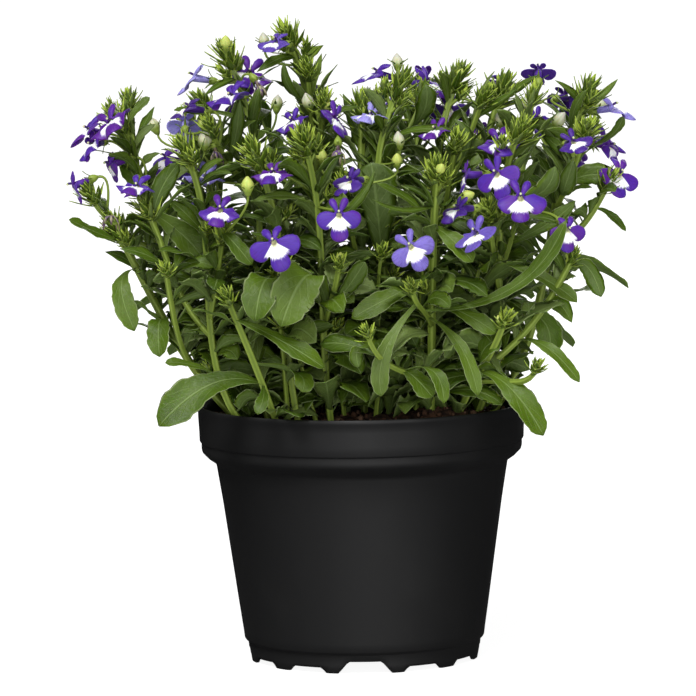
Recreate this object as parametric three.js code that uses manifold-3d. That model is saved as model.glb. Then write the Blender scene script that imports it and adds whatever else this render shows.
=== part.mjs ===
// Trailing lobelia in a round nursery pot.
// Millimetres, +Z up. The origin lies on the ground, under the middle of the plant.
// The pot and its soil carry leafy sprays. Each spray is one green body: a stem with its side
// shoots, leaves, bract tufts and flower stalks. The open flowers are bodies of their own, seated
// just in front of their cups, and a few small or rearward flowers are grown onto their spray.

import * as THREE from 'three'
import { mergeVertices } from 'three/addons/utils/BufferGeometryUtils.js'
import Module from 'manifold-3d'

const wasm = await Module()
wasm.setup()

// Pot
const potSides = 32
const footRadius = 42.2
const footHeight = 6.8
const bodyFootRadius = 43.9
const bodyTopRadius = 53.3
const bodyTop = 72.5
const shoulderRadius = 58.6
const shoulderTop = 78
const rimRadius = 60
const rimTop = 93.8
const wall = 1.2
const floorTop = 9
const notchCount = 12
const notchDepth = 2
const deepNotchDepth = 4.3
const drainCount = 4
const drainRadius = 3.5
const drainRing = 26

// Soil
const seatGap = 0.3
const soilTop = 88
const soilCrown = 4
const rootDepth = 12
const soilFlare = 0.37

// Shoots
const stemSides = 4
const stemSteps = 6
const sideShootSides = 3
const sideShootSteps = 4
const stemFootRadius = 1.5
const stemTipRadius = 0.75
const sideFootRadius = 1.05
const sideTipRadius = 0.6
const tipFlare = 0.35
const footStretch = 0.42
const tipStretch = 0.33
const sampleStep = 3

// Flowers
const bloomReach = 9
const tubeLength = 6.5
const tubeRadius = 1.25
const throatRadius = 1.6
const petalThickness = 1
const upperLean = 0.25
const cupLength = 2.4
const cupRadius = 1.4
const stalkRadius = 0.45
const stalkIdeal = 14
const stalkTopGap = 7
const stalkLowest = 0.2
const stalkBend = 0.45
const stalkPlaces = 60
const stalkRise = 0.03

// Leaves and bracts
const goldenAngle = 137.5
const leafSpacing = 40
const firstLeaf = 16
const firstSideLeaf = 6
const bareTop = 5
const lowLeafLength = 31
const highLeafLength = 19
const lowLeafWidth = 12
const highLeafWidth = 3.4
const foliageBottom = 92
const foliageTop = 215
const bladeThickness = 1
const footThickness = 0.6
const tuftSides = 4
const tuftRadius = 1.5
const bractLength = 11
const budLength = 6
const budRadius = 1.5
const bentTries = 7
const bendStep = 18
const raiseStep = 5
const leastGap = 0.35
const leastCut = 1e-4
const footReach = 5
const tuftReach = 4

const up = new THREE.Vector3(0, 0, 1)
const radians = THREE.MathUtils.degToRad

// Sprays. Each shoot is [parent, start, tip, lean]: the first shoot of a spray starts at [x, y] in
// the soil, the others at a fraction of the parent's length. Lean is how far the foot leans outward.
const sprays = {
  spray_left_tall: [
    [null, [-30, -8], [-88, -2, 199], 0.58],
    [0, 0.86, [-83, 7, 204], 0.3],
    [0, 0.6, [-97, -14, 172], 0.6],
  ],
  spray_left_trailing: [
    [null, [-30, -17], [-88, -14, 160], 0.56],
    [0, 0.42, [-69, -46, 147], 0.7],
  ],
  spray_left_front: [
    [null, [-27, -27], [-62, -37, 189], 0.66],
    [0, 0.45, [-76, -34, 168], 0.5],
    [0, 0.5, [-48, -50, 160], 0.4],
  ],
  spray_left_low: [
    [null, [-26, -39], [-47, -60, 138], 0.28],
  ],
  spray_front_left: [
    [null, [-19, -36], [-37, -46, 188], 0.25],
    [0, 0.42, [-27, -62, 150], 0.5],
  ],
  spray_front_middle: [
    [null, [-9, -35], [-19, -52, 192], 0.25],
    [0, 0.38, [-7, -63, 150], 0.5],
  ],
  spray_crown: [
    [null, [-18, 4], [-25, 0, 227], 0.1],
    [0, 0.72, [-18, -6, 215], 0.5],
    [0, 0.6, [-12, -18, 204], 0.4],
  ],
  spray_crown_left: [
    [null, [-24, -7], [-47, 0, 220], 0.3],
    [0, 0.66, [-57, 6, 203], 0.5],
    [0, 0.6, [-53, -22, 196], 0.5],
  ],
  spray_middle: [
    [null, [1, -14], [2, -4, 202], 0.1],
    [0, 0.55, [8, 25, 202], 0.5],
    [0, 0.45, [-5, -38, 176], 0.5],
  ],
  spray_crown_middle: [
    [null, [11, -19], [16, -18, 210], 0.1],
    [0, 0.7, [24, 4, 205], 0.5],
  ],
  spray_front_tall: [
    [null, [24, -38], [28, -60, 182], 0.2],
    [0, 0.24, [2, -80, 127], 0.75],
    [0, 0.42, [18, -70, 142], 0.5],
  ],
  spray_crown_right: [
    [null, [24, -4], [37, 4, 211], 0.2],
    [0, 0.64, [46, -13, 205], 0.5],
    [0, 0.5, [35, -30, 190], 0.5],
  ],
  spray_right_front: [
    [null, [33, -23], [58, -36, 194], 0.45],
    [0, 0.55, [64, -8, 205], 0.5],
    [0, 0.5, [46, -45, 166], 0.4],
  ],
  spray_right_tall: [
    [null, [36, -9], [84, 4, 205], 0.52],
    [0, 0.66, [82, -22, 193], 0.5],
    [0, 0.56, [91, -6, 173], 0.7],
  ],
  spray_right_low: [
    [null, [31, -31], [51, -62, 129], 0.2],
    [0, 0.5, [62, -70, 113], 0.8],
    [0, 0.6, [76, -50, 150], 0.6],
  ],
  spray_back_left: [
    [null, [-26, 10], [-62, 42, 194], 0.5],
    [0, 0.5, [-80, 30, 172], 0.6],
    [0, 0.6, [-52, 60, 182], 0.6],
  ],
  spray_back_left_low: [
    [null, [-18, 24], [-58, 74, 152], 0.6],
    [0, 0.5, [-34, 76, 166], 0.5],
  ],
  spray_back_middle: [
    [null, [-5, 20], [-16, 66, 200], 0.35],
    [0, 0.6, [-14, 79, 178], 0.6],
    [0, 0.55, [-36, 56, 196], 0.6],
  ],
  spray_back_low: [
    [null, [6, 31], [10, 79, 148], 0.55],
    [0, 0.45, [34, 76, 152], 0.6],
  ],
  spray_back_right: [
    [null, [16, 18], [24, 60, 203], 0.35],
    [0, 0.55, [6, 76, 188], 0.6],
    [0, 0.5, [46, 70, 182], 0.6],
  ],
  spray_far_right: [
    [null, [33, 10], [54, 25, 206], 0.35],
    [0, 0.6, [86, 24, 190], 0.7],
    [0, 0.42, [74, 52, 178], 0.6],
  ],
}

// Blooms, from the front: [x, y, z, azimuth, elevation, roll, size, lip]. Azimuth 0 faces -Y and
// 90 faces +X. Lip is how far the lower lip is folded forward from flat, in degrees.
const freeBlooms = [
  [-90, -12, 196, -30, 20, 34, 0.9, 55],
  [-98, 3, 192, -85, 15, 0, 0.85, 40],
  [-90, -8, 182, -70, -15, 0, 0.75, 0],
  [-103, -15, 175, -80, -20, 0, 0.8, 0],
  [-60, 16, 212, -95, 10, 0, 0.9, 35],
  [-61, -18, 203, -70, 10, 10, 0.85, 60],
  [-45, -22, 207, -35, 50, -10, 0.95, 15],
  [-63, 26, 195, 180, 15, 0, 0.9, 10],
  [-79, -36, 176, -20, 5, -8, 0.9, 78],
  [-55, -21, 178, 10, 20, 0, 0.85, 84],
  [-49, -57, 169, -8, 5, -5, 0.95, 66],
  [-29, -11, 226, 20, 5, 0, 0.7, 45],
  [-39, 3, 215, 150, 35, -10, 0.8, 20],
  [-23, -26, 198, -30, 10, 18, 0.75, 72],
  [-8, -24, 199, 45, -8, -20, 0.9, 25],
  [-30, -58, 182, -5, 5, 5, 0.8, 78],
  [-3, -47, 178, -35, 0, -10, 0.8, 50],
  [-7, -72, 168, 0, 0, 0, 1, 12],
  [-30, -76, 159, -3, 0, 16, 1.08, 8],
  [7, 9, 213, -80, 15, 0, 1, 60],
  [26, 14, 209, 60, 5, 0, 1, 60],
  [5, -16, 195, -60, 30, 0, 0.85, 62],
  [28, -27, 194, 0, 8, 10, 0.65, 75],
  [34, 20, 199, 10, -20, 0, 0.95, 10],
  [67, 32, 212, 180, 30, 0, 0.8, 10],
  [77, 28, 202, 150, 0, 0, 0.85, 10],
  [94, 12, 199, 85, 10, 0, 0.9, 65],
  [77, -37, 190, 65, -10, 0, 0.75, 30],
  [51, -30, 190, 0, 5, 0, 0.9, 80],
  [49, -52, 180, -20, 0, 20, 1.0, 20],
  [57, -66, 172.5, 0, 5, 0, 1.1, 32],
  [38, -40, 179, -55, 0, 20, 0.75, 20],
  [95, -5, 176, 40, -5, 25, 1.0, 25],
  [35, -55, 168, -25, 10, -10, 0.9, 45],
  [43, -63, 159, 55, -10, 25, 0.85, 40],
  [74, -54, 160, 20, -20, 0, 0.85, 25],
  [18, -79, 157, 0, 0, 28, 1, 5],
]

// Blooms grown onto their spray: small, half hidden and rearward ones.
const grownBlooms = [
  [-71, 22, 182, -60, 10, 0, 0.85, 30],
  [12, 34, 200, 0, 10, 0, 0.7, 40],
  [66, 12, 195, 30, 0, 0, 0.8, 40],
  [93, 20, 184, 60, -10, 0, 0.7, 40],
  [-86, 32, 178, -110, 10, 0, 1, 50],
  [-70, 54, 188, -135, 5, 0, 1, 30],
  [-62, 78, 162, -145, 10, 10, 0.95, 50],
  [-42, 64, 200, -160, 5, -10, 1.05, 40],
  [-36, 84, 172, -165, 0, 0, 1, 20],
  [-18, 76, 205, 180, 10, 0, 0.95, 60],
  [-14, 87, 184, 175, 0, 15, 1, 30],
  [9, 84, 160, 180, 0, 0, 1.05, 15],
  [26, 70, 207, 165, 10, 0, 0.95, 60],
  [48, 80, 184, 150, 0, 0, 1.05, 30],
  [54, 44, 207, 150, 15, 0, 0.9, 60],
  [80, 58, 180, 130, 5, -10, 1, 40],
  [92, 36, 186, 105, 5, 0, 1, 55],
]

// Large leaves in their own places: [foot, middle, tip, face, width]. The blade's upper side looks
// along the face.
const placedLeaves = [
  [[-35, -44, 107], [-52, -50, 108], [-73, -56, 95], [-0.2, -0.8, 0.6], 13],
  [[44, -48, 108], [55, -62, 103], [64, -68, 89], [0.2, -0.9, 0.5], 9.5],
  [[-36, -48, 134], [-35, -64, 145], [-37, -72, 131], [0, -1, 0.2], 13.5],
  [[-15, -48, 135], [-19, -64, 147], [-28, -72, 129], [0, -1, 0.2], 17],
  [[-40, -58, 133], [-27, -68, 124], [-13, -72, 114], [0, -0.55, 0.8], 9],
  [[-28, -56, 104], [-33, -60, 102], [-37, -63, 97], [0, -0.8, 0.6], 5],
  [[-26, -58, 116], [-20, -63, 112], [-21, -66, 105], [0, -0.9, 0.4], 8],
  [[-61, -20, 127], [-70, -30, 128], [-72, -36, 115], [-0.2, -0.9, 0.3], 9.5],
  [[-78, -25, 145], [-85, -30, 140], [-81, -32, 124], [0, -0.95, 0.3], 8.5],
  [[-55, -30, 108], [-62, -35, 112], [-70, -38, 113], [0, -0.6, 0.8], 4.5],
  [[-55, -50, 162], [-47, -58, 159], [-38, -62, 150], [0.2, -0.75, 0.65], 7],
  [[-75, -20, 168], [-65, -26, 160], [-57, -30, 151], [0, -0.9, 0.4], 11],
  [[-82, -20, 157], [-93, -23, 159], [-104, -26, 164], [0, -0.5, 0.85], 6.5],
  [[5, -18, 146], [6, -26, 165], [5, -28, 183], [0, -1, -0.1], 18],
  [[27, -56, 160], [32, -60, 158], [40, -64, 150], [0, -0.8, 0.6], 8],
  [[29, -56, 136], [54, -60, 144], [73, -62, 164], [-0.2, -0.7, 0.7], 7.5],
  [[57, -40, 148], [66, -48, 143], [77, -52, 134], [0.2, -0.8, 0.5], 6.5],
  [[72, -35, 147], [80, -40, 147], [86, -44, 135], [0.2, -0.9, 0.4], 7],
  [[-14, -50, 133], [-5, -55, 141], [2, -58, 150], [0, -0.9, 0.3], 7],
  [[24, -40, 144], [12, -52, 138], [-3, -58, 130], [0, -0.75, 0.65], 8.5],
  [[0, -66, 126], [-2, -69, 122], [-1, -71, 114], [0, -0.95, 0.3], 5.5],
  [[10, -64, 128], [6, -72, 118], [7, -74, 104], [0, -0.95, 0.2], 7],
  [[22, -62, 116], [27, -68, 113], [29, -72, 101], [0.2, -0.9, 0.4], 6],
  [[8, -56, 111], [17, -60, 109], [25, -62, 102], [0, -0.6, 0.8], 9],
  [[28, -58, 121], [36, -64, 118], [41, -68, 103], [0.1, -0.85, 0.5], 6],
  [[38, -52, 134], [41, -56, 130], [48, -58, 124], [0, -0.9, 0.4], 7],
  [[36, -50, 112], [42, -54, 118], [50, -56, 122], [0, -0.8, 0.6], 9],
  [[54, -52, 120], [65, -60, 119], [77, -66, 107], [0, -0.6, 0.8], 6],
  [[65, -30, 133], [69, -36, 126], [67, -40, 114], [0, -0.95, 0.2], 10],
  [[-81, -4, 197], [-79, -3, 202], [-75, -2, 206], [0, -0.8, 0.6], 3.6],
  [[82, 2, 166], [90, 0, 162], [97, -4, 155], [0, -0.6, 0.8], 3.4],
  [[89, 10, 178], [94, 9, 187], [97, 8, 196], [0.3, -0.9, 0.3], 3.8],
  [[-39, -10, 198], [-51, -12, 201], [-66, -14, 202], [0, -0.5, 0.85], 5.5],
  [[-20, 40, 120], [-25, 61, 120], [-30, 78, 108], [0, 0.6, 0.8], 12],
  [[14, 50, 118], [17, 70, 117], [20, 88, 104], [0, 0.6, 0.8], 12],
  [[-44, 50, 118], [-58, 62, 117], [-72, 72, 104], [-0.4, 0.5, 0.8], 11],
  [[50, 40, 120], [65, 52, 119], [80, 62, 106], [0.4, 0.5, 0.8], 12],
  [[60, 30, 140], [80, 36, 141], [100, 40, 130], [0.5, 0.3, 0.8], 10],
  [[-50, 30, 130], [-69, 38, 131], [-88, 44, 120], [-0.5, 0.3, 0.8], 10],
]

const materials = {
  pot: finish(0x1b1b1c, 0.45),
  soil: finish(0x2a1a12, 0.95),
  green: finish(0x5d7a2e, 0.6),
  violet: finish(0x5a28aa, 0.55),
}

// Small geometry helpers

function finish(color, roughness) {
  return new THREE.MeshStandardMaterial({ color, roughness, metalness: 0 })
}

function vector(values) {
  return new THREE.Vector3(...values)
}

// Seeded draw between 0 and 1.
function drawFrom(seed) {
  let state = seed
  return () => {
    state = (state * 16807) % 2147483647
    return state / 2147483647
  }
}

// Horizontal direction of an azimuth, with 0 along -Y and 90 along +X.
function heading(azimuth) {
  return new THREE.Vector3(Math.sin(radians(azimuth)), -Math.cos(radians(azimuth)), 0)
}

// Closed skin over rings of equal length, closed at both ends. A ring of one point is a tip.
function loft(rings) {
  const points = rings.flat()
  const starts = []
  rings.reduce((sum, ring) => {
    starts.push(sum)
    return sum + ring.length
  }, 0)
  const faces = []
  for (let i = 0; i + 1 < rings.length; i++) {
    const sides = Math.max(rings[i].length, rings[i + 1].length)
    for (let k = 0; k < sides; k++) {
      const next = (k + 1) % sides
      const corners = (ring) => [k, next].map((step) => starts[ring] + (rings[ring].length > 1 ? step : 0))
      const low = corners(i)
      const high = corners(i + 1)
      if (low[0] !== low[1]) faces.push([low[0], low[1], high[1]])
      if (high[0] !== high[1]) faces.push([low[0], high[1], high[0]])
    }
  }
  const last = rings.length - 1
  for (let k = 1; k + 1 < rings[0].length; k++) faces.push([0, k + 1, k])
  const end = starts[last]
  for (let k = 1; k + 1 < rings[last].length; k++) faces.push([end, end + k, end + k + 1])
  return solidFrom(points, faces)
}

// Solid from points and faces, turned outward if its volume comes out negative.
function solidFrom(points, faces) {
  let volume = 0
  for (const [a, b, c] of faces) {
    volume += points[a].dot(new THREE.Vector3().crossVectors(points[b], points[c]))
  }
  const turned = volume > 0 ? faces : faces.map(([a, b, c]) => [a, c, b])
  const mesh = new wasm.Mesh({
    numProp: 3,
    vertProperties: new Float32Array(points.flatMap((p) => [p.x, p.y, p.z])),
    triVerts: new Uint32Array(turned.flat()),
  })
  return new wasm.Manifold(mesh)
}

// Solid from a three.js geometry whose shared corners are merged.
function solidOf(geometry) {
  geometry.deleteAttribute('normal')
  geometry.deleteAttribute('uv')
  const merged = mergeVertices(geometry, 1e-4)
  const place = merged.attributes.position
  const points = Array.from({ length: place.count }, (_, i) => {
    return new THREE.Vector3().fromBufferAttribute(place, i)
  })
  const faces = []
  for (let i = 0; i < merged.index.count; i += 3) {
    const face = [merged.index.getX(i), merged.index.getX(i + 1), merged.index.getX(i + 2)]
    if (new Set(face).size === 3) faces.push(face)
  }
  return solidFrom(points, faces)
}

function meshOf(name, solid, material) {
  const { vertProperties, triVerts } = solid.getMesh()
  const geometry = new THREE.BufferGeometry()
  geometry.setAttribute('position', new THREE.BufferAttribute(vertProperties, 3))
  geometry.setIndex(new THREE.BufferAttribute(triVerts, 1))
  geometry.computeVertexNormals()
  const mesh = new THREE.Mesh(geometry, material)
  mesh.name = name
  return mesh
}

// Revolved solid: the profile of [radius, height] starts and ends on the axis.
function turned(profile, sides) {
  const geometry = new THREE.LatheGeometry(profile.map(([r, z]) => new THREE.Vector2(r, z)), sides)
  geometry.rotateX(Math.PI / 2)
  return solidOf(geometry)
}

// Tube through points, with its cross-sections turned about a fixed side direction.
function tubeRings(points, tangents, radii, side, sides) {
  return points.map((point, i) => {
    const across = new THREE.Vector3().crossVectors(tangents[i], side).normalize()
    return Array.from({ length: sides }, (_, k) => {
      const angle = (2 * Math.PI * k) / sides
      return point.clone()
        .addScaledVector(side, radii[i] * Math.cos(angle))
        .addScaledVector(across, radii[i] * Math.sin(angle))
    })
  })
}

// Pot

function makePot() {
  const underside = floorTop - wall - 0.8
  const profile = [
    [0, underside], [footRadius - 1.4, underside], [footRadius - 1.4, 0], [footRadius, 0],
    [footRadius + 0.4, footHeight], [bodyFootRadius, footHeight + 0.8], [bodyTopRadius, bodyTop],
    [shoulderRadius - 0.9, bodyTop + 3.3], [shoulderRadius, shoulderTop], [rimRadius, rimTop - 0.6],
    [rimRadius - 0.5, rimTop], [rimRadius - wall, rimTop], [shoulderRadius - wall, shoulderTop],
    [bodyTopRadius - wall, bodyTop + 0.5], [bodyFootRadius - wall, floorTop], [0, floorTop],
  ]
  let pot = turned(profile, potSides)
  for (let k = 0; k < notchCount; k++) pot = pot.subtract(footNotch(k))
  for (let k = 0; k < drainCount; k++) {
    const hole = new THREE.CylinderGeometry(drainRadius, drainRadius, 3 * wall + 2, 6)
    hole.rotateX(Math.PI / 2)
    const angle = (2 * Math.PI * k) / drainCount
    hole.translate(drainRing * Math.cos(angle), drainRing * Math.sin(angle), floorTop - wall)
    pot = pot.subtract(solidOf(hole))
  }
  return pot
}

// Slant-sided notch through the foot ring. Every third one is cut deeper.
function footNotch(index) {
  const depth = index % 3 === 0 ? deepNotchDepth : notchDepth
  const topHalf = 6
  const bottomHalf = topHalf + 0.9 * depth
  const shape = new THREE.Shape([
    new THREE.Vector2(-bottomHalf, -1), new THREE.Vector2(bottomHalf, -1),
    new THREE.Vector2(topHalf, depth), new THREE.Vector2(-topHalf, depth),
  ])
  const cutter = new THREE.ExtrudeGeometry(shape, { depth: 10, bevelEnabled: false })
  cutter.rotateX(Math.PI / 2)
  cutter.translate(0, -footRadius + 5, 0)
  cutter.rotateZ((2 * Math.PI * index) / notchCount)
  return solidOf(cutter)
}

// Soil: fills the pot to below its rim, with a plain hole round each root.
function makeSoil(roots) {
  const reach = bodyTopRadius - wall + (soilTop - bodyTop) * soilFlare
  const profile = [
    [0, floorTop + seatGap], [bodyFootRadius - wall - 0.6, floorTop + seatGap],
    [bodyTopRadius - wall - 0.5, bodyTop], [reach - 0.8, soilTop - 1.5], [0.72 * reach, soilTop],
    [0.36 * reach, soilTop + 0.7 * soilCrown], [0, soilTop + soilCrown],
  ]
  let soil = turned(profile, 20)
  for (const root of roots) soil = soil.subtract(root)
  return soil
}

// Layout of the plant. Everything is described by spheres along it, so that one shoot, flower or
// leaf can be bent clear of another.

function shootPath(start, tip, lean) {
  const span = tip.clone().sub(start)
  const outward = new THREE.Vector3(span.x, span.y, 0).normalize()
  const length = span.length()
  const footAim = outward.clone().multiplyScalar(lean).addScaledVector(up, 1 - lean).normalize()
  const tipAim = outward.clone().multiplyScalar(tipFlare).addScaledVector(up, 1 - tipFlare).normalize()
  const first = start.clone().addScaledVector(footAim, footStretch * length)
  const second = tip.clone().addScaledVector(tipAim, -tipStretch * length)
  return new THREE.CubicBezierCurve3(start, first, second, tip)
}

function layShoots() {
  const shoots = []
  for (const [owner, rows] of Object.entries(sprays)) {
    const family = []
    for (const [parent, at, tip, lean] of rows) {
      const start = parent === null ? vector([...at, soilTop - rootDepth]) : shootPoint(family[parent], at)
      const path = shootPath(start, vector(tip), lean)
      const main = parent === null
      const outward = vector([tip[0] - start.x, tip[1] - start.y, 0]).normalize()
      const shoot = {
        owner, path, main, outward,
        side: new THREE.Vector3().crossVectors(up, outward),
        footRadius: main ? stemFootRadius : sideFootRadius,
        tipRadius: main ? stemTipRadius : sideTipRadius,
        length: path.getLength(),
      }
      family.push(shoot)
      shoots.push(shoot)
    }
  }
  return shoots
}

// Point on the straight steps that the solid of a shoot is made of.
function shootPoint(shoot, t) {
  const steps = shoot.main ? stemSteps : sideShootSteps
  const step = Math.min(Math.floor(t * steps), steps - 1)
  const low = shoot.path.getPoint(step / steps)
  return low.lerp(shoot.path.getPoint((step + 1) / steps), t * steps - step)
}

function shootRadius(shoot, t) {
  return shoot.footRadius + (shoot.tipRadius - shoot.footRadius) * t
}

function sampleShoot(shoot) {
  const count = Math.ceil(shoot.length / sampleStep)
  return Array.from({ length: count + 1 }, (_, i) => {
    const t = i / count
    return { at: shootPoint(shoot, t), radius: shootRadius(shoot, t), t, shoot, owner: shoot.owner }
  })
}

// True when the spheres keep the least gap to all that are taken. Those of the same owner count
// only past the reach of the foot that both grow from.
function isClear(spheres, taken, owner, foot, reach = footReach) {
  return spheres.every((sphere) => {
    const edge = Math.hypot(sphere.at.x, sphere.at.y)
    if (sphere.at.z < soilTop + soilCrown + sphere.radius) return false
    if (sphere.at.z < rimTop + 1.5 && edge > bodyTopRadius - 1) return false
    return taken.every((other) => {
      if (other.owner === owner && other.at.distanceTo(foot) < reach) return true
      return other.at.distanceTo(sphere.at) > other.radius + sphere.radius + leastGap
    })
  })
}

// Bloom frame: facing direction, right and up, and the point where its cup begins.
function bloomFrame(row) {
  const [x, y, z, azimuth, elevation, roll, size, lip] = row
  const face = heading(azimuth).multiplyScalar(Math.cos(radians(elevation)))
  face.addScaledVector(up, Math.sin(radians(elevation))).normalize()
  const right = new THREE.Vector3().crossVectors(up, face).normalize().applyAxisAngle(face, radians(roll))
  const top = new THREE.Vector3().crossVectors(face, right)
  const throat = vector([x, y, z])
  const cup = throat.clone().addScaledVector(face, -(tubeLength + seatGap + cupLength))
  return { throat, face, right, top, cup, size, lip: radians(lip) }
}

// Point of a bloom at a polar place on its face, with the lower part folded forward by the lip
// angle and the upper lobes leaning back.
function bloomPoint(bloom, angle, reach, depth) {
  const x = reach * Math.cos(radians(angle))
  const y = reach * Math.sin(radians(angle))
  const low = y < 0
  const fold = low ? bloom.lip : upperLean
  return bloom.throat.clone()
    .addScaledVector(bloom.right, x)
    .addScaledVector(bloom.top, y * Math.cos(fold))
    .addScaledVector(bloom.face, depth - y * Math.sin(fold))
}

// Half of the outline of a bloom, as [angle, reach]: a side lobe and half the middle lobe of the
// lip below, and one narrow upper lobe. The other half mirrors it.
const halfOutline = [
  [90, 0.26], [75, 0.84], [54, 0.76], [30, 0.32], [12, 0.88], [-12, 1.04], [-36, 0.88],
  [-51, 0.5], [-68, 0.86],
]

function bloomOutline(bloom) {
  const left = halfOutline.slice(1).reverse().map(([angle, reach]) => [180 - angle, reach])
  return [...halfOutline, [-90, 1], ...left].map(([angle, reach]) => {
    return bloomPoint(bloom, angle, reach * bloomReach * bloom.size, -0.4)
  })
}

function sampleBloom(bloom, owner) {
  const spheres = [25, 62, 118, 155, -10, 190, -50, -90, -130].flatMap((angle) => {
    const reach = bloomReach * bloom.size
    return [0.45, 0.85].map((part) => ({ at: bloomPoint(bloom, angle, part * reach, 0), radius: 1.3, owner }))
  })
  for (const back of [0, 0.5, 1]) {
    const at = bloom.throat.clone().addScaledVector(bloom.face, -back * tubeLength)
    spheres.push({ at, radius: tubeRadius + 0.4, owner })
  }
  return spheres
}

// Flower stalks that would do, best first: each leaves a shoot from below the cup, near the ideal
// length away, and arrives along the axis of the cup.
function stalkChoices(bloom, stems, taken) {
  const others = taken.filter((other) => other.owner !== bloom.owner)
  return stems
    .filter(({ t, at, shoot }) => {
      return t > stalkLowest && (1 - t) * shoot.length > stalkTopGap && at.z < bloom.cup.z + cupLength
    })
    .map((stem) => {
      const reach = stem.at.distanceTo(bloom.cup)
      const behind = stem.at.clone().sub(bloom.cup).dot(bloom.face) / (reach + 0.01)
      return { stem, reach, cost: Math.abs(reach - stalkIdeal) + 6 * Math.max(0, behind + 0.2) }
    })
    .sort((a, b) => a.cost - b.cost)
    .slice(0, stalkPlaces)
    .map(({ stem, reach }) => {
      const bend = bloom.cup.clone().addScaledVector(bloom.face, -stalkBend * reach)
      const path = new THREE.QuadraticBezierCurve3(stem.at, bend, bloom.cup)
      const spheres = Array.from({ length: 7 }, (_, i) => {
        return { at: path.getPoint((i + 1) / 7), radius: stalkRadius + 0.2, owner: stem.owner }
      })
      const cupMiddle = bloom.cup.clone().addScaledVector(bloom.face, 0.6 * cupLength)
      spheres.push({ at: cupMiddle, radius: cupRadius, owner: stem.owner })
      const clear = isClear(spheres, others, stem.owner, stem.at)
      return { path, spheres, owner: stem.owner, shoot: stem.shoot, clear }
    })
    .sort((a, b) => b.clear - a.clear)
}

// Leaf: a blade along an arched midrib. Its outline is listed as [place, half width].
const outlines = {
  broad: [[0, 0.12], [0.26, 0.42], [0.46, 0.95], [0.6, 0.84], [0.8, 0.94], [1, 0]],
  middling: [[0, 0.16], [0.35, 0.7], [0.68, 1], [1, 0]],
  narrow: [[0, 0.2], [0.5, 1], [1, 0]],
}

function leafAlong(foot, bend, tip, side, width) {
  const path = new THREE.QuadraticBezierCurve3(foot, bend, tip)
  const kind = width > 7.5 ? 'broad' : width > 4.5 ? 'middling' : 'narrow'
  return { path, side, width, kind }
}

function sampleLeaf(leaf, owner) {
  return [0.3, 0.5, 0.7, 0.88, 1].map((t) => {
    const swell = t < 1 ? 0.3 * leaf.width * Math.min(1, 1.6 * t) : 0
    return { at: leaf.path.getPoint(t), radius: 0.5 + swell, owner }
  })
}

// Leaf by rule: long, broad and spreading low on the plant, short, narrow and upright above.
function ruleLeaf(base, azimuth, raise, draw) {
  const high = THREE.MathUtils.clamp((base.z - foliageBottom) / (foliageTop - foliageBottom), 0, 1)
  const length = (lowLeafLength + (highLeafLength - lowLeafLength) * high) * (0.8 + 0.4 * draw)
  const width = (lowLeafWidth + (highLeafWidth - lowLeafWidth) * Math.sqrt(high)) * (0.85 + 0.3 * draw)
  const climb = radians(20 + 38 * high + raise)
  const out = heading(azimuth)
  const aim = out.clone().multiplyScalar(Math.cos(climb)).addScaledVector(up, Math.sin(climb))
  const bend = base.clone().addScaledVector(aim, 0.55 * length)
  const tip = base.clone().addScaledVector(aim, 0.95 * length).addScaledVector(up, -0.3 * (1 - high) * length)
  return leafAlong(base, bend, tip, new THREE.Vector3().crossVectors(up, out), width)
}

// Tuft on a shoot's tip: a slim core of two rings and a point, whose faces carry the bracts. The
// upper faces point steeply up, every other face of the band spreads outward, and one bract in
// five is a fat bud.
function layTuft(shoot) {
  const axis = shoot.path.getTangent(1)
  const tip = shoot.path.getPoint(1)
  const across = new THREE.Vector3().crossVectors(axis, shoot.side)
  const ring = (radius, height, turn) => Array.from({ length: tuftSides }, (_, k) => {
    const angle = (2 * Math.PI * (k + turn)) / tuftSides
    return tip.clone().addScaledVector(axis, height)
      .addScaledVector(shoot.side, radius * Math.cos(angle))
      .addScaledVector(across, radius * Math.sin(angle))
  })
  const crown = tip.clone().addScaledVector(axis, 2.2)
  const points = [...ring(0.85 * tuftRadius, -1.6, 0), ...ring(tuftRadius, 0.6, 0.5), crown]
  const faces = []
  const bracts = []
  for (let k = 0; k < tuftSides; k++) {
    const next = (k + 1) % tuftSides
    faces.push([k, next, tuftSides + k])
    bracts.push([next, tuftSides + next, tuftSides + k], [tuftSides + k, tuftSides + next, 2 * tuftSides])
    if (k > 0 && k < tuftSides - 1) faces.push([0, next, k])
  }
  return { points, faces, bracts: bracts.map((face, i) => layBract(points, face, axis, i)) }
}

function layBract(points, face, axis, index) {
  const corners = face.map((corner) => points[corner])
  const middle = corners[0].clone().add(corners[1]).add(corners[2]).divideScalar(3)
  const normal = corners[1].clone().sub(corners[0]).cross(corners[2].clone().sub(corners[0])).normalize()
  const aim = normal.addScaledVector(axis, index % 2 === 0 ? 0.7 : 0.5).normalize()
  const bud = index % 5 === 3
  const length = bud ? budLength : bractLength * (0.75 + 0.35 * ((index * 0.37) % 1))
  return { face, corners, middle, aim, bud, tip: middle.clone().addScaledVector(aim, length) }
}

// Solids of the plant's pieces

function shootSolid(shoot, extra = 0) {
  const steps = shoot.main ? stemSteps : sideShootSteps
  const ts = Array.from({ length: steps + 1 }, (_, i) => i / steps)
  const points = ts.map((t) => shoot.path.getPoint(t))
  const tangents = ts.map((t) => shoot.path.getTangent(t))
  const radii = ts.map((t) => shootRadius(shoot, t) + extra)
  if (extra > 0) points[0].addScaledVector(tangents[0], -extra)
  return loft(tubeRings(points, tangents, radii, shoot.side, shoot.main ? stemSides : sideShootSides))
}

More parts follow.
